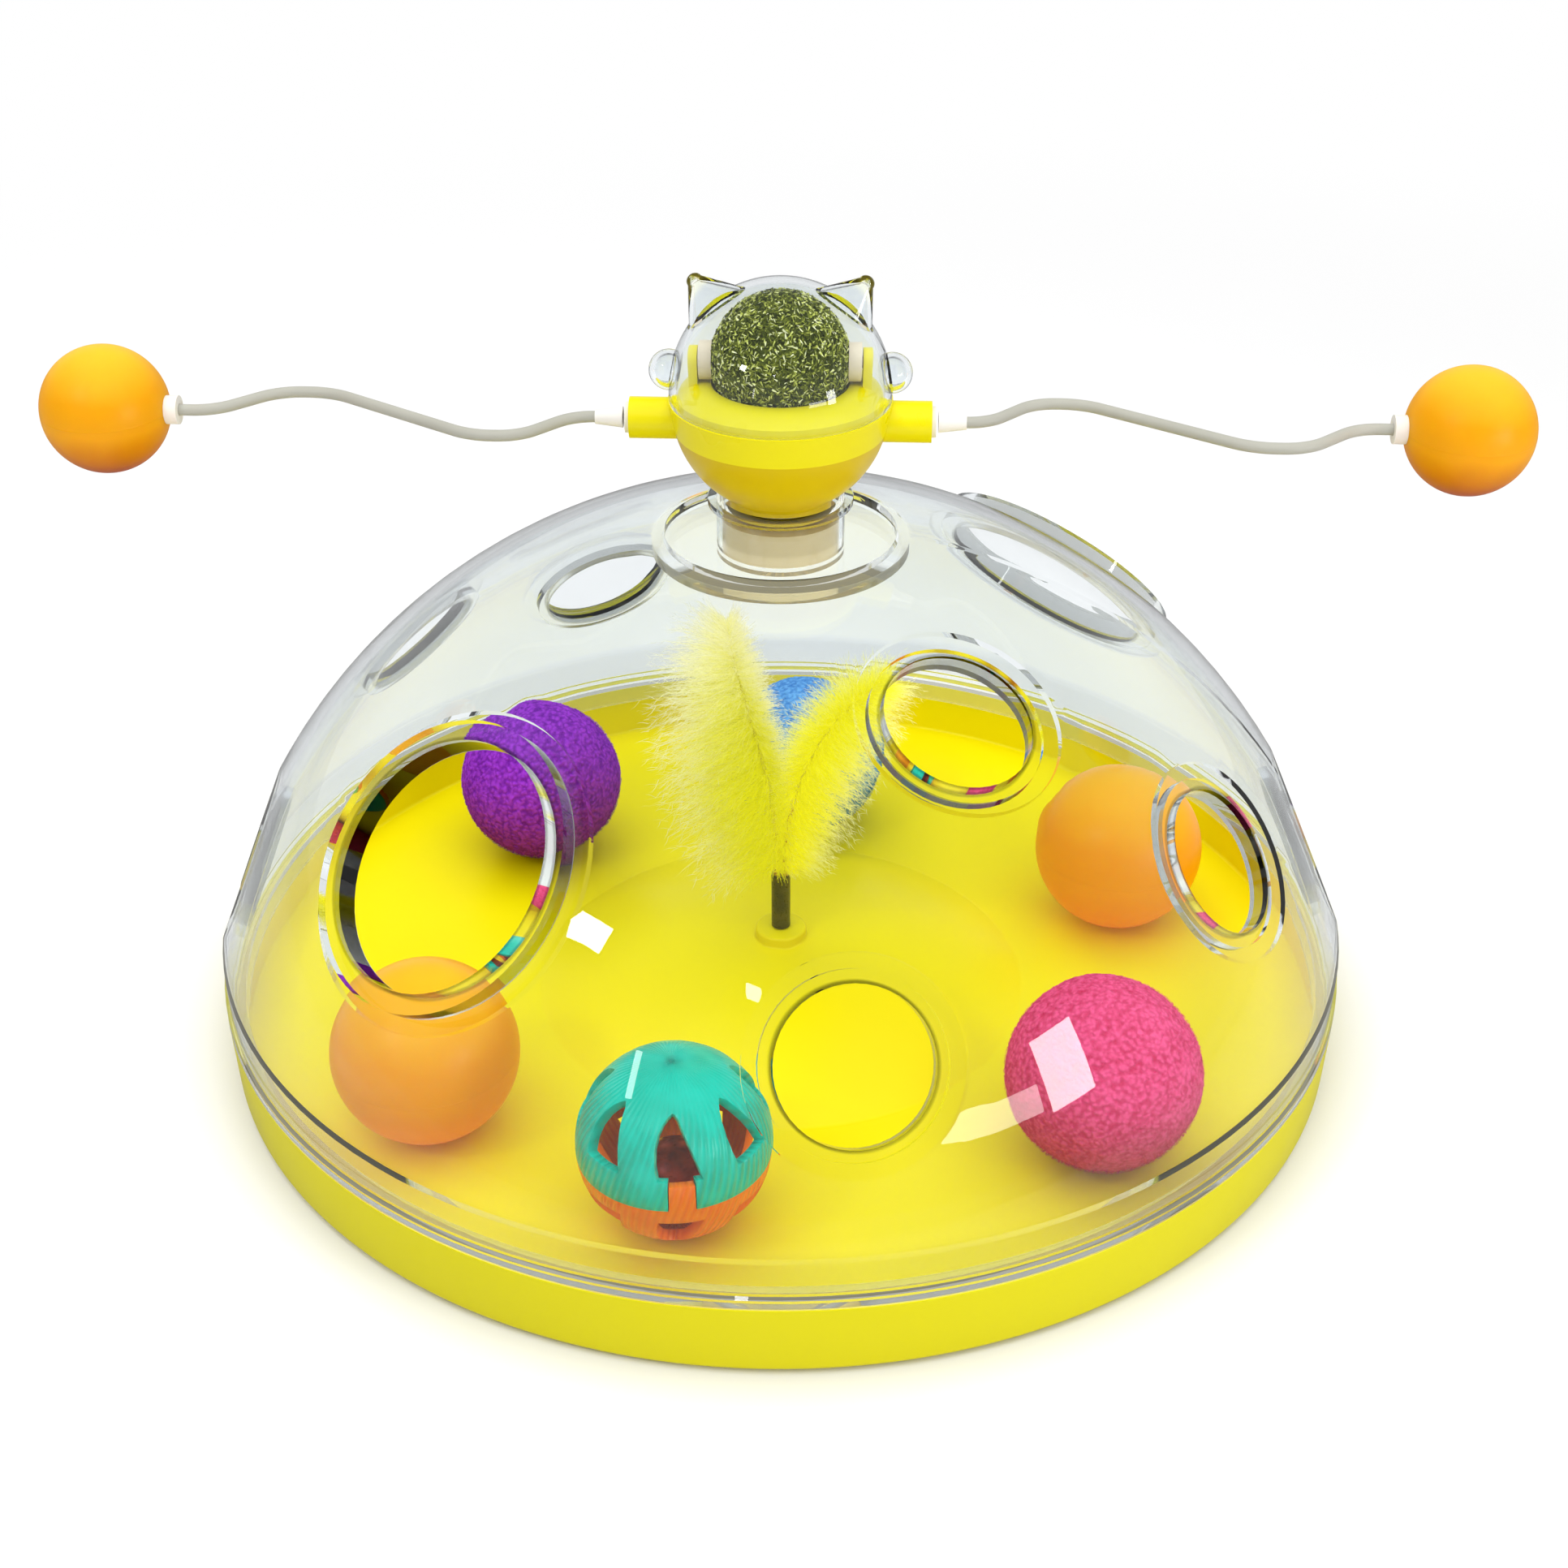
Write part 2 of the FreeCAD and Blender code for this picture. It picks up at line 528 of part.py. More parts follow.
def cage_half(name, side):
    """One half of the bell's cage about its own middle: side is 1 above and -1 below the seam."""
    inner = "(cage_radius - cage_wall)"
    foot = "-cage_seam"
    if side > 0:
        corners = [
            (f"sqrt({inner}^2 - cage_seam^2)", foot),
            ("sqrt(cage_radius^2 - cage_seam^2)", foot, "cage_radius"),
            ("0", "cage_radius"),
            ("0", inner, f"-{inner}"),
        ]
    else:
        lip = f"(sqrt({inner}^2 - cage_lip_rise^2) - fit_gap)"
        corners = [
            ("0", "-cage_radius", "cage_radius"),
            ("sqrt(cage_radius^2 - cage_seam^2)", foot),
            (lip, foot),
            (lip, f"{foot} + cage_lip_rise"),
            (f"{lip} - cage_lip_wall", f"{foot} + cage_lip_rise"),
            (f"{lip} - cage_lip_wall", f"-sqrt({inner}^2 - ({lip} - cage_lip_wall)^2)", f"-{inner}"),
            ("0", f"-{inner}"),
        ]
    body = turned(name, corners)
    sign = "" if side > 0 else "-"
    window = [
        ("-window_left", f"{sign}window_sill"),
        ("window_right", f"{sign}window_sill"),
        ("-window_tip", f"{sign}window_apex", f"{sign}window_bulge"),
    ]
    pocketed(body, name + "_window", window, "cage_radius + 1", "window_count")
    return body


def make_bell_ball():
    """The two cage halves with their latch, the jingle bell inside and the pellet inside the bell."""
    spin = ((0, 0, 0), ("cage_spin - cage_turn", 0, 0))
    upper = cage_half("upper_half", 1)
    notch = [
        ("-latch_half - latch_gap", "-cage_seam - 1"),
        ("latch_half + latch_gap", "-cage_seam - 1"),
        ("latch_half + latch_gap", "window_sill + latch_gap"),
        ("-latch_half - latch_gap", "window_sill + latch_gap"),
    ]
    pocketed(upper, "latch_notch", notch, "cage_radius + 1")
    named(place(upper, *on_track("cage", CAGE_MIDDLE), spin), "cage_upper")
    lower = cage_half("lower_half", -1)
    root = "(cage_seam + cage_lip_wall)"
    face = "(cage_radius - latch_step)"
    band = turned("latch_band", [
        ("cage_radius - cage_wall", f"-{root}"),
        (f"sqrt({face}^2 - {root}^2)", f"-{root}", face),
        (f"sqrt({face}^2 - latch_rise^2)", "latch_rise"),
        ("cage_radius - cage_wall", "latch_rise"),
    ])
    block = primitive("Box", "latch_block", Length="2 * latch_half", Width="cage_radius",
                      Height="cage_radius")
    place(block, (("-latch_half", "-cage_radius", f"-{root}"), (0, 0, 0)))
    latch = doc.addObject("Part::MultiCommon", "latch")
    latch.Shapes = [band, block]
    named(place(joined("lower_cage", [lower, latch]), *on_track("cage", CAGE_MIDDLE), spin), "cage_lower")
    outside = primitive("Sphere", "bell_outside", Radius="bell_radius")
    inside = primitive("Sphere", "bell_inside", Radius="bell_radius - bell_wall")
    slots = []
    for turn in (0, 90):
        slot = primitive("Box", f"bell_slot_{turn}", Length="2 * bell_slot_reach", Width="bell_slot",
                         Height="bell_radius")
        middle = ("-bell_slot_reach", "-bell_slot / 2", "-bell_radius - bell_slot_rise")
        slots.append(place(slot, ((0, 0, 0), (turn, 0, 0)), (middle, (0, 0, 0))))
    bell = without("bell", outside, joined("bell_hollow", [inside] + slots))
    named(place(bell, *on_track("cage", BELL_MIDDLE)), "jingle_bell")
    pellet = primitive("Sphere", "pellet", Radius="pellet_radius")
    rest = f"{BELL_MIDDLE} - bell_radius + bell_wall + pellet_radius + ball_gap"
    named(place(pellet, *on_track("cage", rest)), "bell_pellet")


# Dome

PAW_HOLES = [("front_left", "large"), ("rear_right", "large"), ("front", "small"), ("front_right", "small"),
             ("upper", "small"), ("rear", "small"), ("rear_left", "small"), ("left", "small"),
             ("right", "small")]


def hole_tool(name, hole, radius, start, end):
    """A cylinder along a paw hole's axis between two distances from the sphere's middle."""
    tool = primitive("Cylinder", name, Radius=radius, Height=f"{end} - ({start})")
    turn = (f"{hole}_turn - 90", f"90 - {hole}_lift", 0)
    return place(tool, ((0, 0, DOME_CENTRE), turn), ((0, 0, start), (0, 0, 0)))


def make_dome():
    """The clear dome: flange and skirt, paw holes with flats and collars, sunk top and bearing cup."""
    skirt = "(tray_radius - tray_wall - skirt_gap)"
    blank = turned("dome_blank", [
        ("0", f"{DOME_BASE} - skirt_drop"),
        (skirt, f"{DOME_BASE} - skirt_drop"),
        (skirt, DOME_BASE),
        ("tray_radius", DOME_BASE),
        ("tray_radius", FLANGE_TOP),
        (BAND, f"{FLANGE_TOP} + flange_chamfer"),
        (BAND, BAND_TOP, DOME_SPHERE),
        ("recess_radius", f"{DOME_CENTRE} + sqrt({DOME_SPHERE}^2 - recess_radius^2)"),
        ("recess_radius", RECESS),
        ("cup_radius + cup_wall", RECESS),
        ("cup_radius + cup_wall", f"{CUP_TOP} - lip_rise"),
        ("cup_radius + cup_wall + lip_reach", f"{CUP_TOP} - lip_rise"),
        ("cup_radius + cup_wall + lip_reach", CUP_TOP),
        ("cup_radius", CUP_TOP),
        ("cup_radius", CUP),
        ("0", CUP),
    ])
    core = turned("dome_core", [
        ("0", f"{DOME_BASE} - skirt_drop - 1"),
        (f"{skirt} - skirt_wall", f"{DOME_BASE} - skirt_drop - 1"),
        (f"{skirt} - skirt_wall", FLANGE_TOP),
        (f"{BAND} - dome_wall", FLANGE_TOP),
        (f"{BAND} - dome_wall", f"{DOME_CENTRE} + sqrt({DOME_CORE}^2 - ({BAND} - dome_wall)^2)", DOME_CORE),
        ("recess_radius + dome_wall", f"{DOME_CENTRE} + sqrt({DOME_CORE}^2 - (recess_radius + dome_wall)^2)"),
        ("recess_radius + dome_wall", f"{RECESS} - dome_wall"),
        ("cup_radius + cup_wall", f"{RECESS} - dome_wall"),
        ("cup_radius + cup_wall", CUP_UNDER),
        ("0", CUP_UNDER),
    ])
    outer_flats, inner_flats, raised, sunk, bores = [], [], [], [], []
    for hole, kind in PAW_HOLES:
        land = f"({kind}_bore + {kind}_flat)"
        flat = f"sqrt({DOME_SPHERE}^2 - {land}^2)"
        far = f"{DOME_SPHERE} + land_margin + large_collar_rise"
        cutter = f"{land} + land_margin"
        outer_flats.append(hole_tool(f"{hole}_outer_flat", hole, cutter, flat, far))
        inner_flats.append(hole_tool(f"{hole}_inner_flat", hole, cutter, f"{flat} - dome_wall", far))
        bores.append(hole_tool(f"{hole}_bore", hole, f"{kind}_bore", f"{flat} - {kind}_bore", far))
        if kind == "large":
            raised.append(hole_tool(f"{hole}_collar", hole, "large_bore + large_collar",
                                    f"{flat} - dome_wall / 2", f"({flat} + large_collar_rise)"))
        else:
            sunk.append(hole_tool(f"{hole}_collar", hole, "small_bore + small_collar",
                                  f"{flat} - dome_wall - small_collar_drop", far))
    flattened = without("dome_flattened", blank, joined("outer_flats", outer_flats))
    collared = joined("dome_collared", [flattened] + raised)
    hollow = without("dome_hollow", core, joined("inner_cuts", inner_flats + sunk))
    spindle_hole = primitive("Cylinder", "spindle_hole", Radius="spindle_radius + spindle_room",
                             Height="3 * cup_base")
    place(spindle_hole, ((0, 0, f"{CUP_UNDER} - cup_base"), (0, 0, 0)))
    shell = without("dome_walls", collared, hollow)
    named(without("dome", shell, joined("dome_bores", bores + [spindle_hole])), "dome_shell")
    bush = turned("bush", [
        ("spindle_radius + fit_gap", CUP),
        ("cup_radius - fit_gap", CUP),
        ("cup_radius - fit_gap", BUSH_TOP),
        ("spindle_radius + fit_gap", BUSH_TOP),
    ])
    named(bush, "pivot_bush")


# Windmill

def make_hub_bowl():
    """The lower half of the hub with its spindle, shoulder and screw hole, notched for the wire sockets."""
    hole = "(screw_radius + fit_gap)"
    hole_top = f"({WASHER_TOP} - washer_depth + screw_length + fit_gap)"
    inside = f"({BOWL_SPHERE} - bowl_wall)"
    body = turned("bowl", [
        ("0", hole_top),
        (hole, hole_top),
        (hole, WASHER_TOP),
        ("spindle_radius", WASHER_TOP),
        ("spindle_radius", SHOULDER),
        ("shoulder_radius", SHOULDER),
        ("shoulder_radius", NECK),
        ("cup_radius - neck_gap", NECK),
        ("cup_radius - neck_gap", f"{NECK} + neck_rise"),
        ("bowl_foot_radius", BOWL_FOOT, BOWL_SPHERE),
        (CREASE_RADIUS, CREASE),
        (BOWL_MOUTH, CREASE, f"-{inside}"),
        (f"sqrt({inside}^2 - ({BOWL_CENTRE} - bowl_well_rise)^2)", f"{BOWL_FOOT} + bowl_well_rise"),
        ("0", f"{BOWL_FOOT} + bowl_well_rise"),
    ])
    notches = []
    for side, turn in (("right", 0), ("left", 180)):
        notch = primitive("Cylinder", f"{side}_notch", Radius="socket_radius + seat_gap", Height=SOCKET_END)
        notches.append(place(notch, ((0, 0, ARM), (turn, 90, 0)), ((0, 0, "ring_wall"), (0, 0, 0))))
    named(without("notched_bowl", body, joined("socket_notches", notches)), "hub_bowl")


def make_hub_deck():
    """The upper half of the hub: band, step for the cover, catnip seat, axle posts and wire sockets."""
    ring = f"({BOWL_MOUTH} - ring_gap)"
    spigot = f"({COVER_IN} - spigot_gap)"
    seat = "(catnip_radius + catnip_gap)"
    bed = f"({seat} + catnip_seat_wall)"
    under = f"({RIM} + spigot_rise - deck_depth)"
    edge = f"({RIM} + catnip_seat_edge)"
    body = turned("deck", [
        ("0", f"{AXLE} - {bed}", bed),
        (f"sqrt({bed}^2 - ({AXLE} - {under})^2)", under),
        (f"{ring} - ring_wall", under),
        (f"{ring} - ring_wall", f"{CREASE} - ring_drop"),
        (ring, f"{CREASE} - ring_drop"),
        (ring, CREASE),
        (CREASE_RADIUS, CREASE),
        (RIM_RADIUS, RIM),
        (spigot, RIM),
        (spigot, f"{RIM} + spigot_rise", "deck_crown"),
        (f"sqrt({seat}^2 - ({AXLE} - {edge})^2)", edge, f"-{seat}"),
        ("0", f"{AXLE} - {seat}"),
    ])
    solids, holes = [body], []
    for side, turn in (("right", 0), ("left", 180)):
        level, along = ((0, 0, ARM), (turn, 90, 0)), (0, 0, 0)
        socket = primitive("Cylinder", f"{side}_socket", Radius="socket_radius",
                           Height="socket_root + socket_length")
        solids.append(place(socket, level, ((0, 0, f"{CREASE_RADIUS} - socket_root"), along)))
        bore = primitive("Cylinder", f"{side}_socket_bore", Radius="plug_stem_radius + fit_gap",
                         Height="plug_stem_length + fit_gap + 1")
        start = f"{SOCKET_END} - plug_stem_length - fit_gap"
        holes.append(place(bore, level, ((0, 0, start), along)))
        post = primitive("Box", f"{side}_post", Length="post_depth", Width="2 * post_half",
                         Height="catnip_rise - spigot_rise")
        solids.append(place(post, ((0, 0, 0), (turn, 0, 0)),
                            ((POST, "-post_half", f"{RIM} + spigot_rise"), (0, 0, 0))))
        head = primitive("Cylinder", f"{side}_post_head", Radius="post_half", Height="post_depth")
        solids.append(place(head, ((0, 0, AXLE), (turn, 90, 0)), ((0, 0, POST), (0, 0, 0))))
        hole = primitive("Cylinder", f"{side}_axle_hole", Radius="axle_radius + fit_gap",
                         Height="post_depth + 2")
        holes.append(place(hole, ((0, 0, AXLE), (turn, 90, 0)), ((0, 0, f"{POST} - 1"), (0, 0, 0))))
    named(without("hub_top", joined("deck_solids", solids), joined("deck_holes", holes)), "hub_deck")


def make_pivot_fasteners():
    """The washer and the screw that hold the spindle in the cup."""
    under = f"({WASHER_TOP} - washer_depth)"
    washer = turned("washer", [
        ("screw_radius + fit_gap", under),
        ("washer_radius", under),
        ("washer_radius", WASHER_TOP),
        ("screw_radius + fit_gap", WASHER_TOP),
    ])
    named(washer, "pivot_washer")
    screw = turned("screw", [
        ("0", f"{under} - screw_head_depth"),
        ("screw_head_radius - screw_slot", f"{under} - screw_head_depth"),
        ("screw_head_radius", f"{under} - screw_head_depth + screw_slot"),
        ("screw_head_radius", under),
        ("screw_radius", under),
        ("screw_radius", f"{under} + screw_length"),
        ("0", f"{under} + screw_length"),
    ])
    slots = []
    for turn in (0, 90):
        slot = primitive("Box", f"screw_slot_{turn}", Length="screw_head_radius", Width="screw_slot",
                         Height="2 * screw_slot_depth")
        middle = ("-screw_head_radius / 2", "-screw_slot / 2",
                  f"{under} - screw_head_depth - screw_slot_depth")
        slots.append(place(slot, ((0, 0, 0), (turn, 0, 0)), (middle, (0, 0, 0))))
    named(without("slotted_screw", screw, joined("screw_cross", slots)), "pivot_screw")


def wire_path():
    """The spring wire's centre line: straight runs joined by tangent arcs as large as the runs allow."""
    start = value(f"{SOCKET_END} + plug_flange_depth + flex_gap + wire_inset")
    end = value("wire_ball_across - wire_ball_radius + wire_cap_seat - fit_gap")
    points = [Vector(start, 0, 0)] + [Vector(x, y, 0) for x, y in WIRE_ROUTE] + [Vector(end, 0, 0)]
    edges = []
    radii = []
    leave = points[0]
    for before, corner, after in zip(points, points[1:], points[2:]):
        entering = corner - before
        leaving = after - corner
        half = entering.getAngle(leaving) / 2
        setback = 0.45 * min(entering.Length, leaving.Length)
        radii.append(setback / math.tan(half))
        first = corner - entering * (setback / entering.Length)
        last = corner + leaving * (setback / leaving.Length)
        inward = (first + last) / 2 - corner
        centre = corner + inward * (radii[-1] / math.cos(half) / inward.Length)
        middle = centre + (corner - centre) * (radii[-1] / (corner - centre).Length)
        edges.append(Part.LineSegment(leave, first).toShape())
        edges.append(Part.Arc(first, middle, last).toShape())
        leave = last
    edges.append(Part.LineSegment(leave, points[-1]).toShape())
    print("spring wire arc radii, mm:", ", ".join(f"{radius:.1f}" for radius in radii))
    return Part.Wire(edges)


def make_arms():
    """Plug, boot, wire, cap and ball of each spring wire, the left set turned half round."""
    path = wire_path()
    flange = f"({SOCKET_END} + plug_flange_depth)"
    boot_face = f"({flange} + flex_gap)"
    cap_end = "(wire_ball_across - wire_ball_radius + wire_cap_seat)"
    for side, turn in (("right", 0), ("left", 180)):
        along = ((0, 0, ARM), (turn, 90, 0))
        plug = turned(f"{side}_plug", [
            ("0", f"{SOCKET_END} - plug_stem_length"),
            ("plug_stem_radius", f"{SOCKET_END} - plug_stem_length"),
            ("plug_stem_radius", SOCKET_END),
            ("plug_flange_radius", SOCKET_END),
            ("plug_flange_radius", flange),
            ("0", flange),
        ])
        named(place(plug, along), f"wire_plug_{side}")
        boot = turned(f"{side}_boot", [
            ("wire_radius + fit_gap", boot_face),
            ("boot_root_radius", boot_face),
            ("boot_tip_radius", f"{boot_face} + boot_length"),
            ("wire_radius + fit_gap", f"{boot_face} + boot_length"),
        ])
        named(place(boot, along), f"wire_boot_{side}")
        radius = value("wire_radius")
        section = Part.Wire(Part.Circle(path.Vertexes[0].Point, Vector(1, 0, 0), radius).toShape())
        wire = doc.addObject("Part::Feature", f"{side}_wire")
        wire.Shape = path.makePipeShell([section], True, False)
        print(f"{side} wire volume over section times length:",
              round(wire.Shape.Volume / (math.pi * radius ** 2 * path.Length), 4))
        named(place(wire, ((0, 0, ARM), (turn, 0, 0))), f"arm_wire_{side}")
        cap = turned(f"{side}_wire_cap", [
            ("0", cap_end),
            ("0", f"{cap_end} - fit_gap"),
            ("wire_radius + fit_gap", f"{cap_end} - fit_gap"),
            ("wire_radius + fit_gap", f"{cap_end} - wire_cap_length"),
            ("wire_cap_radius", f"{cap_end} - wire_cap_length"),
            ("wire_cap_radius", cap_end),
        ])
        named(place(cap, along), f"wire_cap_{side}")
        outside = primitive("Sphere", f"{side}_wire_ball_outside", Radius="wire_ball_radius")
        inside = primitive("Sphere", f"{side}_wire_ball_inside", Radius="wire_ball_radius - wire_ball_wall")
        pocket = primitive("Cylinder", f"{side}_cap_pocket", Radius="wire_cap_radius + fit_gap",
                           Height="wire_cap_length + wire_cap_seat")
        place(pocket, ((f"{cap_end} + fit_gap - wire_ball_across", 0, 0), (0, -90, 0)))
        ball = without(f"{side}_wire_ball", outside, joined(f"{side}_wire_ball_hollow", [inside, pocket]))
        named(place(ball, ((0, 0, ARM), (turn, 0, 0)), (("wire_ball_across", 0, 0), (0, 0, 0))),
              f"wire_ball_{side}")


# Catnip head

def make_catnip():
    """The catnip ball and the two axle caps whose stems plug into it."""
    ball = primitive("Sphere", "catnip_sphere", Radius="catnip_radius")
    bore = primitive("Cylinder", "catnip_bore", Radius="cap_stem_radius + fit_gap",
                     Height="2 * catnip_radius + 2")
    place(bore, (("-catnip_radius - 1", 0, 0), (0, 90, 0)))
    named(place(without("catnip", ball, bore), ((0, 0, AXLE), (0, 0, 0))), "catnip_ball")
    disc_face = f"({POST} - cap_gap)"
    for side, turn in (("right", 0), ("left", 180)):
        disc = turned(f"{side}_cap_blank", [
            ("0", "catnip_radius - cap_stem_length"),
            ("cap_stem_radius", "catnip_radius - cap_stem_length"),
            ("cap_stem_radius", "catnip_radius - 2"),
            ("cap_radius", "catnip_radius - 2"),
            ("cap_radius", disc_face),
            ("axle_radius", disc_face),
            ("axle_radius", f"{POST} + post_depth - cap_gap"),
            ("0", f"{POST} + post_depth - cap_gap"),
        ])
        ball_room = primitive("Sphere", f"{side}_ball_room", Radius="catnip_radius + fit_gap")
        stem_room = primitive("Cylinder", f"{side}_stem_room", Radius="cap_stem_radius",
                              Height="2 * catnip_radius")
        hollow = without(f"{side}_cap_hollow", ball_room, stem_room)
        cap = without(f"{side}_axle_cap", disc, hollow)
        named(place(cap, ((0, 0, AXLE), (turn, 90, 0))), f"axle_cap_{side}")


def ear(name, side, shrink):
    """One ear's solid, smaller all round by shrink: an oval cone along a radius, with its tip rounded."""
    lean = (0, f"{side} * ear_lean", 0)
    sections = []
    neck = f"{COVER_OUT} + ear_neck - {shrink}"
    for level, distance, size in (("root", f"{COVER_OUT} - ear_root", "ear_root"), ("neck", neck, "ear_tip")):
        oval = primitive("Ellipse", f"{name}_{level}", MajorRadius=f"{size}_half - {shrink}",
                         MinorRadius=f"{size}_depth - {shrink}")
        sections.append(place(oval, ((0, 0, COVER_MIDDLE), lean), ((0, 0, distance), (0, 0, 0))))
    cone = doc.addObject("Part::Loft", f"{name}_cone")
    cone.Sections = sections
    cone.Solid = True
    cone.Ruled = True
    tip = primitive("Ellipsoid", f"{name}_tip", Radius1=f"ear_tip_depth - {shrink}",
                    Radius2=f"ear_tip_half - {shrink}", Radius3=f"ear_tip_depth - {shrink}")
    place(tip, ((0, 0, COVER_MIDDLE), lean), ((0, 0, neck), (0, 0, 0)))
    return [cone, tip]


def make_cover():
    """The clear cat cover: a half sphere on a short skirt, two hollow ears and two hollow round tabs."""
    outer = turned("cover_outside", [
        ("0", COVER_FOOT),
        (COVER_OUT, COVER_FOOT),
        (COVER_OUT, COVER_MIDDLE, COVER_OUT),
        ("0", f"{COVER_MIDDLE} + {COVER_OUT}"),
    ])
    inner = turned("cover_inside", [
        ("0", f"{COVER_FOOT} - 1"),
        (COVER_IN, f"{COVER_FOOT} - 1"),
        (COVER_IN, COVER_MIDDLE, COVER_IN),
        ("0", f"{COVER_MIDDLE} + {COVER_IN}"),
    ])
    outside, inside = [outer], [inner]
    for side, sign in (("right", "1"), ("left", "-1")):
        outside += ear(f"{side}_ear", sign, "0")
        inside += ear(f"{side}_ear_hollow", sign, "ear_wall")
        tab = primitive("Sphere", f"{side}_tab", Radius="tab_radius")
        hollow = primitive("Sphere", f"{side}_tab_hollow", Radius="tab_radius - tab_wall")
        middle = (f"{sign} * ({COVER_OUT} - tab_inset)", 0, f"{COVER_MIDDLE} + tab_rise")
        outside.append(place(tab, (middle, (0, 0, 0))))
        inside.append(place(hollow, (middle, (0, 0, 0))))
    named(without("cover", joined("cover_solids", outside), joined("cover_hollows", inside)), "cat_cover")


NODES = {"base_tray": 1, "rubber_feet": int(value("foot_count")), "wand_sleeve": 1, "feather_left": 1,
         "feather_right": 1, "plastic_ball_front": 1, "plastic_ball_side": 1, "felt_ball_pink": 1,
         "felt_ball_purple": 1, "felt_ball_blue": 1, "cage_upper": 1, "cage_lower": 1, "jingle_bell": 1,
         "bell_pellet": 1, "dome_shell": 1, "pivot_bush": 1, "hub_bowl": 1, "hub_deck": 1,
         "pivot_washer": 1, "pivot_screw": 1, "wire_plug_right": 1, "wire_plug_left": 1,
         "wire_boot_right": 1, "wire_boot_left": 1, "arm_wire_right": 1, "arm_wire_left": 1,
         "wire_cap_right": 1, "wire_cap_left": 1, "wire_ball_right": 1, "wire_ball_left": 1,
         "catnip_ball": 1, "axle_cap_right": 1, "axle_cap_left": 1, "cat_cover": 1}


def write_parts():
    """Check every object, then write each sub-part's solids."""
    doc.recompute()
    for item in doc.Objects:
        if "Invalid" in item.State or "Error" in item.State:
            raise RuntimeError(f"{item.Name} failed: {item.State}")
    parts = {}
    for label, solids in NODES.items():
        shape = doc.getObjectsByLabel(label)[0].Shape
        if shape.isNull() or not shape.isValid() or len(shape.Solids) != solids:
            raise RuntimeError(f"{label} isn't {solids} valid solid(s)")
        parts[label] = shape
    os.makedirs("parts", exist_ok=True)
    for label, shape in parts.items():
        shape.exportStep(f"parts/{label}.step")
        print(f"{label}: {shape.Volume / 1000:.2f} cm3")


make_tray()
make_feet()
make_wand()
make_track_balls()
make_bell_ball()
make_dome()
make_hub_bowl()
make_hub_deck()
make_pivot_fasteners()
make_arms()
make_catnip()
make_cover()
write_parts()
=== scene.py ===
"""The looks of the cat track ball toy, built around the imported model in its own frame."""

import logging
import math
from collections.abc import Callable, Sequence
from dataclasses import dataclass
from enum import Enum
from functools import reduce

import bpy
import numpy as np
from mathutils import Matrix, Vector


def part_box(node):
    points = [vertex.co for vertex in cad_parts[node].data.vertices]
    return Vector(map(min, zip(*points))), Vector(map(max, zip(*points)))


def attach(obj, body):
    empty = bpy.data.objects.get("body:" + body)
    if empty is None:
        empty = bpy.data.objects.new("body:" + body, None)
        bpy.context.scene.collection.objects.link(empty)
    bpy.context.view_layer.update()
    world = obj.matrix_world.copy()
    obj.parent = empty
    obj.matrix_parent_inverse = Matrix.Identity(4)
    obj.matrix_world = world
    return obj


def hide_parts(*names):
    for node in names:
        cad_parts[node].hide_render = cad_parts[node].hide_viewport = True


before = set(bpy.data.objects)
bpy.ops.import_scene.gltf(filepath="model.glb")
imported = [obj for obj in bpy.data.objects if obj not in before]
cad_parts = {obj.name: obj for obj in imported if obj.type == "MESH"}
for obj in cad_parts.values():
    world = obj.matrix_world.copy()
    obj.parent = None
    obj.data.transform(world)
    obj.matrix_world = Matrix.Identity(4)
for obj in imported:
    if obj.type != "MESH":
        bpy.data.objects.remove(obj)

log = logging.getLogger("cat_track_toy")

MM = 0.001

Triple = tuple[float, float, float]
Table = Sequence[Triple]
Socket = bpy.types.NodeSocket
Piece = bpy.types.Object
Material = bpy.types.Material
World = bpy.types.World
Chance = np.random.Generator

BLACK: Triple = (0.0, 0.0, 0.0)
WHITE: Triple = (1.0, 1.0, 1.0)


def paint(red: int, green: int, blue: int) -> Triple:
    """Turn a colour as a screen shows it, 0 to 255, into the linear one that shaders use."""
    shown = np.array([red, green, blue]) / 255
    return tuple(np.where(shown <= 0.04045, shown / 12.92, ((shown + 0.055) / 1.055) ** 2.4).tolist())


def facing(turn: float, lift: float) -> Vector:
    """Give the direction with this turn from the front and this lift, in degrees."""
    turn, lift = math.radians(turn), math.radians(lift)
    return Vector((math.sin(turn) * math.cos(lift), -math.cos(turn) * math.cos(lift), math.sin(lift)))


# Materials


class Ray(Enum):
    """The kinds of ray that a shader can be told apart for."""

    CAMERA = "Is Camera Ray"
    SHADOW = "Is Shadow Ray"
    DIFFUSE = "Is Diffuse Ray"
    GLOSSY = "Is Glossy Ray"
    TRANSMISSION = "Is Transmission Ray"


class Measure(Enum):
    """What a line in a material is measured by: the axes that count."""

    HEIGHT = (0.0, 0.0, 1.0)
    REACH = (1.0, 1.0, 0.0)
    DISTANCE = (1.0, 1.0, 1.0)


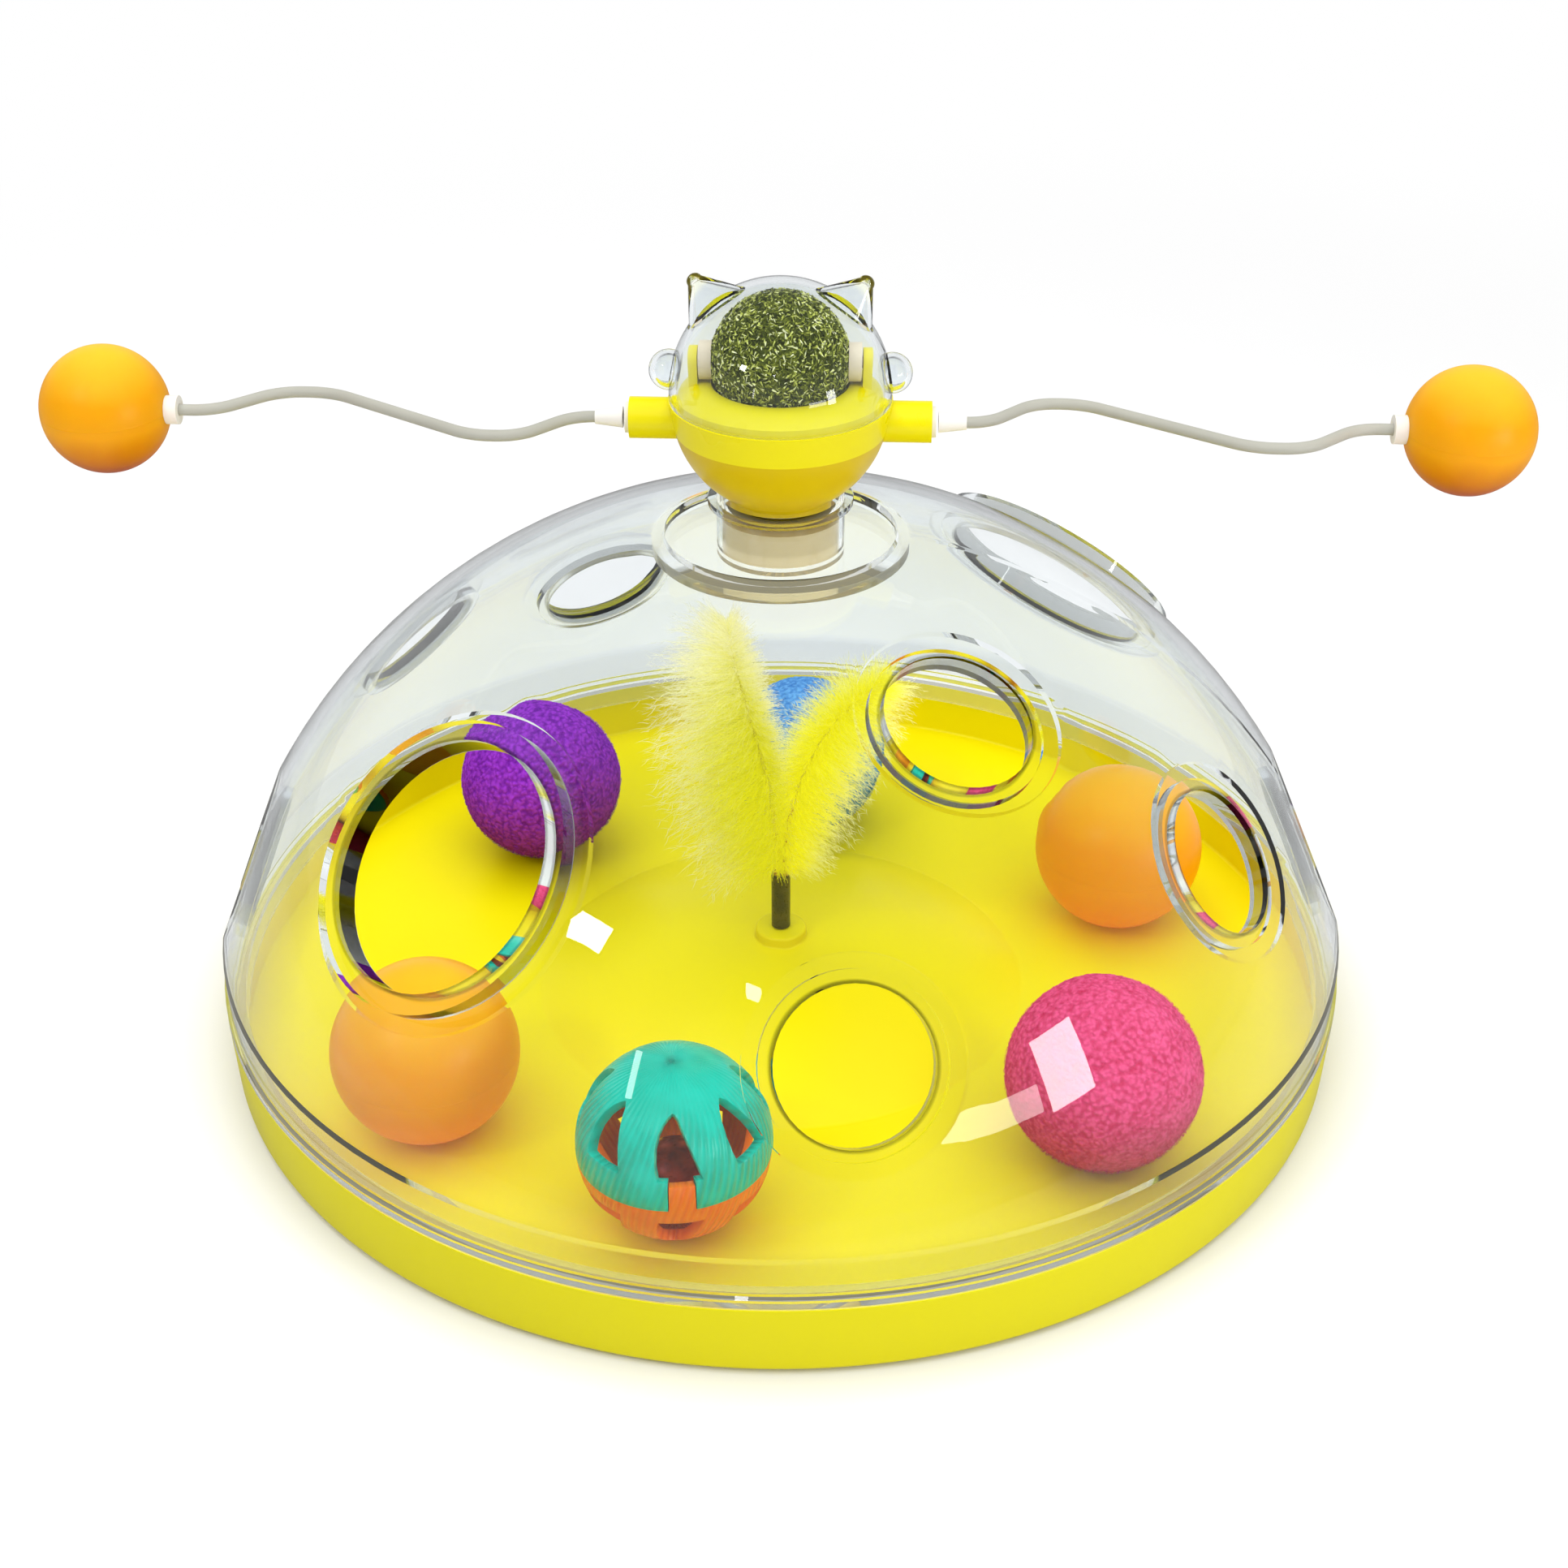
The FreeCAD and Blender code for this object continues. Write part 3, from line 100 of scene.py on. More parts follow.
class Signal:
    """A number inside a node tree: sums written on it add the Math nodes."""

    def __init__(self, graph: "Graph", socket: Socket) -> None:
        """Wrap an output socket of a graph."""
        self.graph = graph
        self.socket = socket

    def work(self, operation: str, *values: "Signal | float") -> "Signal":
        """Give the result of one Math node with these inputs."""
        return self.graph.signal("ShaderNodeMath", {"operation": operation}, dict(enumerate(values)))

    @staticmethod
    def _math(operation: str, reflected: bool = False) -> "Callable[[Signal, Signal | float], Signal]":
        """Make the method of an operator, or of its reflected form."""
        return lambda one, other: one.work(operation, *((other, one) if reflected else (one, other)))

    __add__, __radd__ = _math("ADD"), _math("ADD", True)
    __sub__, __rsub__ = _math("SUBTRACT"), _math("SUBTRACT", True)
    __mul__, __rmul__ = _math("MULTIPLY"), _math("MULTIPLY", True)
    __or__ = _math("MAXIMUM")

    def rise(self, low: float, high: float) -> "Signal":
        """Grow smoothly from 0 at the low value to 1 at the high one."""
        return self.graph.signal("ShaderNodeMapRange", {"interpolation_type": "SMOOTHSTEP"},
                                 {"Value": self, "From Min": low, "From Max": high})

    def past(self, line: float, soft: float) -> "Signal":
        """Give 1 past a line and 0 before it, with a soft step, all in millimetres."""
        return self.rise((line - soft) * MM, (line + soft) * MM)

    def between(self, low: float, high: float, soft: float) -> "Signal":
        """Give 1 between two lines and 0 elsewhere, with soft steps, all in millimetres."""
        return self.past(low, soft) * (1 - self.past(high, soft))


class Graph:
    """The node tree of one material or of the world."""

    def __init__(self, owner: Material | World) -> None:
        """Empty the owner's node tree.

        Args:
            owner: The material or world to build nodes in.
        """
        owner.use_nodes = True
        self.owner = owner
        self.tree = owner.node_tree
        self.tree.nodes.clear()

    def node(self, kind: str, settings: dict | None = None, inputs: dict | None = None) -> bpy.types.Node:
        """Add any node.

        Args:
            kind: The node's type.
            settings: Its properties, with a ramp's stops under "stops", set before its inputs.
            inputs: Values or links by socket name or number. None leaves a socket as it is.

        Returns:
            The new node.
        """
        node = self.tree.nodes.new(kind)
        for name, value in (settings or {}).items():
            if name == "stops":
                self._fill_ramp(node.color_ramp, value)
            else:
                setattr(node, name, value)
        for key, value in (inputs or {}).items():
            source = value.socket if isinstance(value, Signal) else value
            if isinstance(source, Socket):
                self.tree.links.new(source, node.inputs[key])
            elif source is not None:
                node.inputs[key].default_value = (*source, 1.0) if node.inputs[key].type == "RGBA" else source
        return node

    @staticmethod
    def _fill_ramp(ramp: bpy.types.ColorRamp, stops: Sequence[tuple[float, Triple]]) -> None:
        """Give a ramp its stops.

        Args:
            ramp: The ramp to fill.
            stops: Each stop's place and colour.
        """
        while len(ramp.elements) < len(stops):
            ramp.elements.new(1.0)
        for element, (place, colour) in zip(ramp.elements, stops):
            element.position = place
            element.color = (*colour, 1.0)

    def signal(self, kind: str, settings: dict | None = None, inputs: dict | None = None,
               output: int | str = 0) -> Signal:
        """Add any node and give one of its outputs as a number."""
        return Signal(self, self.node(kind, settings, inputs).outputs[output])

    def vector(self, operation: str, *values: Socket | Sequence[float]) -> Socket:
        """Give the vector of one Vector Math node with these inputs."""
        return self.node("ShaderNodeVectorMath", {"operation": operation}, dict(enumerate(values))).outputs[0]

    def length(self, operation: str, *values: Socket | Sequence[float]) -> Signal:
        """Give the number of one Vector Math node with these inputs."""
        return self.signal("ShaderNodeVectorMath", {"operation": operation}, dict(enumerate(values)), "Value")

    def axes(self, vector: Socket) -> list[Signal]:
        """Split a vector into its three numbers."""
        node = self.node("ShaderNodeSeparateXYZ", None, {0: vector})
        return [Signal(self, socket) for socket in node.outputs]

    def place(self, centre: Sequence[float] = BLACK, turn: float = 0.0) -> Socket:
        """Give the place on the piece, in metres.

        Args:
            centre: The place that becomes zero.
            turn: A turn about the upright line through it, in degrees.

        Returns:
            The vector's socket.
        """
        place = self.node("ShaderNodeTexCoord").outputs["Object"]
        if not any(centre) and not turn:
            return place
        shifted = self.vector("SUBTRACT", place, centre)
        return self.node("ShaderNodeMapping", None, {
            "Vector": shifted, "Rotation": (0, 0, math.radians(-turn))}).outputs[0]

    def noise(self, place: Socket, size: float, detail: float = 2.0, roughness: float = 0.5) -> Signal:
        """Give noise from 0 to 1, its clouds of a size in millimetres, with finer layers in them."""
        return self.signal("ShaderNodeTexNoise", None, {
            "Vector": place, "Scale": 1 / (size * MM), "Detail": detail, "Roughness": roughness}, "Fac")

    def cells(self, place: Socket, size: float, feature: str = "F1") -> bpy.types.Node:
        """Add a pattern of cells of a size in millimetres."""
        return self.node("ShaderNodeTexVoronoi", {"feature": feature}, {
            "Vector": place, "Scale": 1 / (size * MM)})

    def ray(self, kind: Ray) -> Signal:
        """Give 1 for one kind of ray and 0 for the rest."""
        return self.signal("ShaderNodeLightPath", output=kind.value)

    def seen_through(self) -> tuple[Signal, Signal]:
        """Tell apart what is seen through clear plastic and what is only mirrored."""
        glass = self.ray(Ray.TRANSMISSION)
        return glass, self.ray(Ray.GLOSSY) * (1 - glass)

    def size_of(self, place: Socket, measure: Measure) -> Signal:
        """Measure a place's height, its reach from the axis or its distance from zero, in metres."""
        return self.length("LENGTH", self.vector("MULTIPLY", place, measure.value))

    def along(self, name: str) -> Signal:
        """Read a number that the mesh carries at each point."""
        return self.signal("ShaderNodeAttribute", {"attribute_name": name}, output="Fac")

    def ramp(self, value: Signal, stops: Sequence[tuple[float, Triple]]) -> Socket:
        """Turn a number from 0 to 1 into a colour."""
        return self.node("ShaderNodeValToRGB", {"stops": stops}, {"Fac": value}).outputs["Color"]

    def blend(self, share: Signal | float, first: Triple | Socket, second: Triple | Socket) -> Socket:
        """Mix two colours, the second one by share."""
        return self.node("ShaderNodeMix", {"data_type": "RGBA"}, {0: share, 6: first, 7: second}).outputs[2]

    def bump(self, height: Signal, depth: float, under: Socket | None = None) -> Socket:
        """Raise the surface by a pattern, depth in millimetres, on top of another normal if any."""
        return self.node("ShaderNodeBump", None, {
            "Height": height, "Distance": depth * MM, "Normal": under}).outputs["Normal"]

    def shader(self, colour: Triple | Socket, roughness: float | Signal, normal: Socket | None = None,
               **settings: float | Triple | Socket) -> Socket:
        """Add the main shader, other sockets' names with underscores for spaces."""
        named = {name.replace("_", " "): value for name, value in settings.items()}
        return self.node("ShaderNodeBsdfPrincipled", None, {
            "Base Color": colour, "Roughness": roughness, "Normal": normal, **named}).outputs[0]

    def mix(self, share: Signal | float, first: Socket, second: Socket) -> Socket:
        """Mix two shaders, the second one by share."""
        return self.node("ShaderNodeMixShader", None, {0: share, 1: first, 2: second}).outputs[0]

    def clear(self, colour: Triple = WHITE) -> Socket:
        """Add a see-through shader."""
        return self.node("ShaderNodeBsdfTransparent", None, {"Color": colour}).outputs[0]

    def finish(self, surface: Socket) -> Material | World:
        """Link the surface to the output.

        Args:
            surface: The shader's socket.

        Returns:
            The finished material or world.
        """
        kind = "World" if isinstance(self.owner, World) else "Material"
        self.node(f"ShaderNodeOutput{kind}", None, {"Surface": surface})
        return self.owner


def new_graph(name: str) -> Graph:
    """Start a material of this name."""
    return Graph(bpy.data.materials.new(name))


def largest(masks: Sequence[Signal]) -> Signal | float:
    """Join masks into one, or give 0 for none."""
    return reduce(Signal.__or__, masks) if masks else 0.0


@dataclass(frozen=True)
class MouldedPlastic:
    """Opaque injection moulded plastic: faint flow clouds, a fine tooled grain and a soft shine.

    Each noise is the size of its clouds in millimetres, its finer layers and how strong these are.
    """

    name: str
    colour: Triple
    shade: Triple
    roughness: float = 0.34
    depth: float = 0.006
    shine: float = 0.3
    metal: float = 0.0
    clouds: Triple = (34, 3, 0.5)
    cloudy: Triple = (0.3, 0.75, 0.6)
    grain: Triple = (0.7, 2, 0.6)
    stretch: Triple = (1, 1, 1)
    drift: Triple | None = (12, 2, 0.5)
    uneven: float = 0.14
    line: float | None = None
    line_soft: float = 0.2
    measure: Measure = Measure.HEIGHT
    beyond: Triple = BLACK

    def material(self) -> Material:
        """Build the material, in another colour beyond its line if it has one.

        Returns:
            The material.
        """
        graph = new_graph(self.name)
        place = graph.place()
        low, high, share = self.cloudy
        clouds = graph.noise(place, *self.clouds).rise(low, high)
        colour = graph.blend(clouds * share, self.colour, self.shade)
        if self.line is not None:
            past = graph.size_of(place, self.measure).past(self.line, self.line_soft)
            colour = graph.blend(past, colour, self.beyond)
        stretched = graph.node("ShaderNodeMapping", None, {"Vector": place, "Scale": self.stretch}).outputs[0]
        grain = graph.noise(stretched, *self.grain)
        drift = graph.noise(place, *self.drift) if self.drift else grain
        roughness = self.roughness + (drift - 0.5) * self.uneven
        return graph.finish(graph.shader(colour, roughness, graph.bump(grain, self.depth),
                                         Specular_IOR_Level=self.shine, Metallic=self.metal))


@dataclass(frozen=True)
class Rubber(MouldedPlastic):
    """Dull moulded rubber with a powdery grain."""

    roughness: float = 0.5
    depth: float = 0.02
    shine: float = 0.5
    clouds: Triple = (5, 2, 0.5)
    cloudy: Triple = (0.3, 0.7, 1.0)
    grain: Triple = (0.4, 3, 0.65)
    drift: Triple | None = None
    uneven: float = 0.25


@dataclass(frozen=True)
class SheetMetal(MouldedPlastic):
    """Plated or turned metal with fine marks of its making."""

    roughness: float = 0.28
    depth: float = 0.012
    shine: float = 0.5
    metal: float = 1.0
    clouds: Triple = (4, 3, 0.5)
    cloudy: Triple = (0.35, 0.7, 1.0)
    grain: Triple = (1.6, 3, 0.6)
    stretch: Triple = (1, 1, 9)
    drift: Triple | None = None
    uneven: float = 0.2


@dataclass(frozen=True)
class Zone:
    """Part of a piece: its heights and its distances from the axis or from a heart on it, in millimetres."""

    low: float = -100.0
    high: float = 1000.0
    inner: float = -100.0
    outer: float = 1000.0
    heart: float | None = None
    soft: float = 0.5

    def share(self, graph: Graph) -> Signal:
        """Tell how far a place lies in the zone.

        Args:
            graph: The material's nodes.

        Returns:
            One inside the zone and nought outside it.
        """
        place = graph.place((0.0, 0.0, (self.heart or 0.0) * MM))
        height = graph.size_of(graph.place(), Measure.HEIGHT)
        away = graph.size_of(place, Measure.REACH if self.heart is None else Measure.DISTANCE)
        level = height.between(self.low, self.high, self.soft)
        return level * away.between(self.inner, self.outer, self.soft)


@dataclass(frozen=True)
class Bore:
    """A round hole through a dome: its axis from the dome's heart in degrees, its radius in millimetres.

    A dark outline is painted along its edge: its two sides stand off the radius, and it shows only near the
    bore's own end.
    """

    turn: float
    lift: float
    radius: float = 15.5
    inner: float = -0.25
    inner_soft: float = 0.15
    outer: float = 0.6
    outer_soft: float = 0.3
    near: float = 20.0

    def edge(self, graph: Graph, heart: float) -> Signal:
        """Tell how near a place lies to the hole's edge, where the dark outline is painted.

        Args:
            graph: The material's nodes.
            heart: Height of the dome's heart, in millimetres.

        Returns:
            One at the edge and nought elsewhere.
        """
        way = facing(self.turn, self.lift)
        place = graph.place((0.0, 0.0, heart * MM))
        away = graph.length("LENGTH", graph.vector("CROSS_PRODUCT", place, way))
        ring = away.past(self.radius + self.inner, self.inner_soft) * (
            1 - away.past(self.radius + self.outer, self.outer_soft))
        return ring * graph.length("DOT_PRODUCT", place, way).past(self.near, self.near)


@dataclass(frozen=True)
class ClearPlastic:
    """Clear polished plastic: it bends what is behind it, lets soft light through, and gives off a painted
    pale glow in some zones.

    The foot is the height in millimetres that its tint is darker below, the heart that of its dome.
    """

    name: str
    tint: Triple = (0.925, 0.965, 0.985)
    bend: float = 1.47
    flow: float = 30.0
    flow_shade: float = 0.06
    swell: float = 0.02
    foot: float = 28.5
    foot_soft: float = 1.5
    foot_shade: float = 0.12
    # The emission colour next is a painted pale glow, given off in the zones listed under milky.
    painted_milky_glow: Triple = (0.05, 0.047, 0.034)
    milky: Sequence[Zone] = (Zone(high=20.3), Zone(112.0, 119.0, outer=27.5))
    bores: Sequence[Bore] = ()
    heart: float = -11.5
    # The edge colour is a painted dark outline round the bores, mixed in by the share that follows.
    edge: Triple = (0.03, 0.035, 0.01)
    painted_outline_share: float = 0.7
    to_diffuse: Triple = (0.96, 0.97, 0.98)
    to_shadow: Triple = (0.94, 0.955, 0.965)

    def material(self) -> Material:
        """Build the material.

        Returns:
            The material, open to soft light and to shadows.
        """
        graph = new_graph(self.name)
        place = graph.place()
        flow = graph.noise(place, self.flow, 1)
        # Darker tint below the foot height.
        below_foot = 1 - graph.size_of(place, Measure.HEIGHT).past(self.foot, self.foot_soft)
        rings = largest([bore.edge(graph, self.heart) for bore in self.bores])
        tint = graph.blend(below_foot * self.foot_shade + flow * self.flow_shade, self.tint, BLACK)
        # Painted shade: a dark outline round the edge of each bore.
        tint = graph.blend(rings * self.painted_outline_share, tint, self.edge)
        # Painted glow: the emission colour inside the milky zones.
        painted_milky_glow = graph.blend(largest([zone.share(graph) for zone in self.milky]), BLACK, self.painted_milky_glow)
        glass = graph.shader(tint, 0.0, graph.bump(flow, self.swell), Transmission_Weight=1.0, IOR=self.bend,
                             Emission_Color=painted_milky_glow, Emission_Strength=1.0)
        soft = graph.mix(graph.ray(Ray.DIFFUSE), glass, graph.clear(self.to_diffuse))
        return graph.finish(graph.mix(graph.ray(Ray.SHADOW), soft, graph.clear(self.to_shadow)))


@dataclass(frozen=True)
class GlowingPlastic:
    """Milky translucent plastic of a hollow ball, with painted light: lighter at its top, darker at its
    bottom, and a faint painted glow.
    """

    name: str
    # Painted light: top is the lit colour of the ball's top and deep the shaded colour of its bottom; glow is
    # the strength of a painted glow.
    top: Triple
    colour: Triple
    deep: Triple
    centre: Sequence[float]
    radius: float
    roughness: float = 0.3
    glow: float = 0.1
    shine: float = 0.18
    milky: float = 0.45
    scatter: Triple = (0.012, 0.006, 0.0015)
    cloud: float = 16.0
    grain: float = 0.9
    seam: float = 0.12
    seam_soft: float = 0.1
    seam_depth: float = 0.04

    def material(self) -> Material:
        """Build the material.

        Returns:
            The material, with a moulding seam round the ball's middle.
        """
        graph = new_graph(self.name)
        place = graph.place(self.centre)
        height = graph.axes(place)[2]
        # Painted light and shade: the colour runs from the darker deep colour at the bottom to the lighter
        # top colour at the top.
        level = (height * (0.5 / self.radius) + 0.5) + (graph.noise(place, self.cloud) - 0.5) * 0.2
        colour = graph.ramp(level, [
            (0.06, self.deep), (0.45, self.colour), (0.7, self.colour), (1.0, self.top)])
        seam = 1 - height.work("ABSOLUTE", height).past(self.seam, self.seam_soft)
        grain = graph.noise(place, self.grain)
        normal = graph.bump(seam, self.seam_depth, graph.bump(grain, 0.005))
        # The emission is a painted glow in the ball's own colour.
        return graph.finish(graph.shader(
            colour, self.roughness + grain * 0.08, normal, Subsurface_Weight=self.milky,
            Subsurface_Radius=self.scatter, Subsurface_Scale=1.0, Specular_IOR_Level=self.shine,
            Emission_Color=self.colour, Emission_Strength=self.glow))


@dataclass(frozen=True)
class Felt:
    """Boiled wool: matted, curly and dull, with painted shade in its pits and towards the bottom."""

    name: str
    # light is the wool's pale tone and dark its deep tone, which also paints the shade in its pits.
    light: Triple
    dark: Triple
    curl: float = 0.95
    warp: float = 1.7
    warped: float = 0.9
    fuzz: float = 0.28
    patch: float = 7.0
    shadow: float = 0.4
    shadow_low: float = 3.0
    shadow_top: float = 34.0

    def material(self) -> Material:
        """Build the material.

        Returns:
            The material.
        """
        graph = new_graph(self.name)
        place = graph.place()
        warp = graph.node("ShaderNodeTexNoise", None, {
            "Vector": place, "Scale": 1 / (self.warp * MM), "Detail": 2.0})
        offset = graph.vector("MULTIPLY_ADD", warp.outputs["Color"], (self.warped * MM,) * 3, place)
        curls = Signal(graph, graph.cells(offset, self.curl, "SMOOTH_F1").outputs["Distance"])
        fuzz = graph.noise(place, self.fuzz, roughness=0.7)
        # Painted shade: share darkens the wool in the pits between the curls, with random patches and fuzz on
        # top.
        depth = curls.rise(0.15, 0.75)
        share = depth * 0.62 + (graph.noise(place, self.patch) - 0.5) * 0.5 + (fuzz - 0.5) * 0.5
        # Painted shade: the wool gets darker towards the bottom of the ball.
        low = 1 - graph.size_of(place, Measure.HEIGHT).rise(self.shadow_low * MM, self.shadow_top * MM)
        colour = graph.ramp(share, [(0.0, self.light), (0.85, self.dark)])
        colour = graph.blend(low * self.shadow, colour, BLACK)
        normal = graph.bump(1 - depth, 0.26, graph.bump(fuzz, 0.1))
        return graph.finish(graph.shader(colour, 0.95, normal, Sheen_Weight=0.12, Sheen_Roughness=0.5,
                                         Sheen_Tint=self.light, Specular_IOR_Level=0.08))


@dataclass(frozen=True)
class Fluff:
    """Downy barbs: bright at the quill and pale at their tips, with light coming through and a painted glow.
    """

    name: str
    core: Triple
    middle: Triple
    tip: Triple
    # glow is the strength of a painted glow: the barbs give off their own colour as light.
    glow: float = 0.22
    through: float = 0.45

    def material(self) -> Material:
        """Build the material.

        Returns:
            The material.
        """
        graph = new_graph(self.name)
        tone = graph.along("tone")
        colour = graph.ramp(graph.along("along") + (tone - 0.5) * 0.3,
                            [(0.0, self.core), (0.24, self.core), (0.5, self.middle), (0.9, self.tip)])
        # Painted glow: the emission brightens the barbs.
        body = graph.shader(colour, 0.8 - tone * 0.15, Specular_IOR_Level=0.15,
                            Emission_Color=colour, Emission_Strength=self.glow)
        through = graph.node("ShaderNodeBsdfTranslucent", None, {"Color": colour}).outputs[0]
        return graph.finish(graph.mix(self.through, body, through))


@dataclass(frozen=True)
class Chopped:
    """Pressed chopped leaves: flecks from pale green to nearly black."""

    name: str
    flecks: Sequence[tuple[float, Triple]]
    fleck: float = 0.55

    def material(self) -> Material:
        """Build the material.

        Returns:
            The material.
        """
        graph = new_graph(self.name)
        place = graph.place()
        cells = graph.cells(place, self.fleck)
        pick = graph.axes(cells.outputs["Color"])[0]
        share = graph.along("tone") * 0.7 + pick * 0.3 + (graph.noise(place, 3) - 0.5) * 0.3
        height = Signal(graph, cells.outputs["Distance"])
        normal = graph.bump(1 - height, 0.2, graph.bump(graph.noise(place, 0.25), 0.08))
        return graph.finish(graph.shader(graph.ramp(share, self.flecks), 0.75 + (pick - 0.5) * 0.2, normal,
                                         Specular_IOR_Level=0.3))


@dataclass(frozen=True)
class RibbedPlastic:
    """Glossy cage plastic with fine ribs that run down its bars."""

    name: str
    colour: Triple
    shade: Triple
    centre: Sequence[float]
    turn: float
    ribs: int = 70
    slant: float = 14.0
    depth: float = 0.3
    smooth_low: float = 10.0
    smooth_top: float = 18.0

    def material(self) -> Material:
        """Build the material.

        Returns:
            The material.
        """
        graph = new_graph(self.name)
        place = graph.place(self.centre, self.turn)
        across, depth, height = graph.axes(place)
        angle = (across.work("ARCTAN2", across, depth) + height * self.slant) * self.ribs
        fade = 1 - height.rise(self.smooth_low * MM, self.smooth_top * MM) * 0.75
        patches = graph.noise(place, 5).rise(0.3, 0.6) * 0.6 + 0.4
        ridges = (angle.work("SINE", angle) * 0.5 + 0.5) * patches
        flow = graph.noise(place, 9)
        colour = graph.blend(flow.rise(0.3, 0.7) * 0.4 + ridges * fade * 0.45, self.colour, self.shade)
        normal = graph.bump(ridges * fade, self.depth, graph.bump(graph.noise(place, 0.8), 0.006))
        return graph.finish(graph.shader(colour, 0.24 + (flow - 0.5) * 0.1, normal, Specular_IOR_Level=0.4))


Finish = MouldedPlastic | ClearPlastic | GlowingPlastic | Felt | Fluff | Chopped | RibbedPlastic


# Shapes


def deselect() -> None:
    """Leave nothing selected, so that an operator acts on new pieces alone."""
    if bpy.context.object is not None and bpy.context.object.mode != "OBJECT":
        bpy.ops.object.mode_set(mode="OBJECT")
    bpy.ops.object.select_all(action="DESELECT")


def pick(piece: Piece) -> None:
    """Select one piece and make it the active one.

    Args:
        piece: The piece.
    """
    deselect()
    piece.select_set(True)
    bpy.context.view_layer.objects.active = piece


def add(name: str, data: bpy.types.ID) -> Piece:
    """Put a new object into the scene.

    Args:
        name: Its name.
        data: Its mesh, curve, camera or lamp.

    Returns:
        The new object.
    """
    piece = bpy.data.objects.new(name, data)
    bpy.context.scene.collection.objects.link(piece)
    return piece


def point(piece: Piece, spot: Vector, way: Vector) -> None:
    """Stand a camera or a lamp at a spot and point it along a way.

    Args:
        piece: The camera or lamp.
        spot: Its place, in metres.
        way: The direction it looks in.
    """
    piece.location = spot
    piece.rotation_mode = "QUATERNION"
    piece.rotation_quaternion = way.to_track_quat("-Z", "Y")


def modify(piece: Piece, kind: str, **settings: object) -> None:
    """Add a modifier and apply it.

    Args:
        piece: The piece that it shapes.
        kind: The modifier's type.
        **settings: The modifier's properties.
    """
    pick(piece)
    modifier = piece.modifiers.new(kind.lower(), kind)
    for name, value in settings.items():
        setattr(modifier, name, value)
    bpy.ops.object.modifier_apply(modifier=modifier.name)


def settle(piece: Piece, body: str, slot: str, finish: Finish, *nodes: str) -> None:
    """Finish a new piece: its material, its body and the nodes that it stands for.

    Args:
        piece: The new piece.
        body: The body that it moves with.
        slot: The name of a material slot; not used.
        finish: Its finish.
        *nodes: The nodes of the model that it replaces.
    """
    piece.data.materials.clear()
    piece.data.materials.append(finish.material())
    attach(piece, body)
    if nodes:
        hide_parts(*nodes)
    log.info("%s: %d faces on %s", piece.name, len(piece.data.polygons), body)


def dress(finish: Finish, *nodes: str) -> None:
    """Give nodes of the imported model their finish.

    Args:
        finish: The finish.
        *nodes: The nodes' names.
    """
    for node in nodes:
        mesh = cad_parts[node].data
        mesh.materials.clear()
        mesh.materials.append(finish.material())
        log.info("%s: dressed in %s", node, finish.name)


def middle(node: str) -> tuple[Vector, float]:
    """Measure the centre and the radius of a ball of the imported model."""
    low, high = (Vector(corner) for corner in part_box(node))
    return (low + high) / 2, (high - low).z / 2


def unit(vectors: np.ndarray, least: float = 0.0) -> np.ndarray:
    """Give vectors a length of 1."""
    return vectors / (np.linalg.norm(vectors, axis=-1, keepdims=True) + least)


def read(table: Table, where: np.ndarray) -> list[np.ndarray]:
    """Read a table's second and third column at places along its first one."""
    rows = np.array(table)
    return [np.interp(where, rows[:, 0], rows[:, column]) for column in (1, 2)]


def strands(name: str, paths: np.ndarray, widths: np.ndarray | float, tones: np.ndarray,
            chance: Chance, span: np.ndarray | None = None) -> Piece:
    """Make many thin tapered ribbons as one mesh.

    Args:
        name: The mesh's name.
        paths: Points of each strand, as strands by points by 3, in metres.
        widths: The strands' widths at their roots, in millimetres.
        tones: A number from 0 to 1 for each strand, which its colour varies with.
        chance: The source of each ribbon's turn about itself.
        span: Where "along" starts and ends on each strand, if not at 0 and 1.

    Returns:
        The new object, at the origin.
    """
    count, points, _ = paths.shape
    side = unit(np.cross(np.gradient(paths, axis=1), chance.normal(size=(count, 1, 3))), 1e-12)
    taper = (1 - np.linspace(0, 1, points) ** 2)[None, :, None]
    offset = side * (np.broadcast_to(widths, count) * MM)[:, None, None] * 0.5 * taper
    body = np.stack([paths - offset, paths + offset], axis=2)[:, :-1].reshape(count, -1, 3)
    vertices = np.concatenate([body, paths[:, -1:]], axis=1).reshape(-1, 3)
    per = 2 * (points - 1) + 1
    ladder = [(2 * i, 2 * i + 1, 2 * i + 3, 2 * i + 2) for i in range(points - 2)]
    first = np.arange(count)[:, None] * per
    quads = (first[:, :, None] + np.array(ladder)[None]).reshape(-1, 4)
    tips = first + np.array([[per - 3, per - 2, per - 1]])
    mesh = bpy.data.meshes.new(name)
    mesh.from_pydata(vertices.tolist(), [], quads.tolist() + tips.tolist())
    ends = np.tile([0.0, 1.0], (count, 1)) if span is None else span
    level = ends[:, :1] + (ends[:, 1:] - ends[:, :1]) * np.linspace(0, 1, points)[None]
    each = np.concatenate([np.repeat(level[:, :-1], 2, axis=1), level[:, -1:]], axis=1).ravel()
    piece = add(name, mesh)
    mark(piece, along=each, tone=np.repeat(tones, per))
    return piece


def mark(piece: Piece, **values: np.ndarray | float) -> None:
    """Give the points of a mesh numbers that its material reads.

    Args:
        piece: The piece.
        **values: Each attribute's name, with one number for all points or a number for each.
    """
    for label, value in values.items():
        layer = piece.data.attributes.new(label, "FLOAT", "POINT")
        layer.data.foreach_set("value", np.broadcast_to(value, len(piece.data.vertices)).astype(np.float32))


def join(main: Piece, *others: Piece) -> None:
    """Join pieces into the first one.

    Args:
        main: The piece that stays.
        *others: The pieces that go into it.
    """
    pick(main)
    for other in others:
        other.select_set(True)
    bpy.ops.object.join()


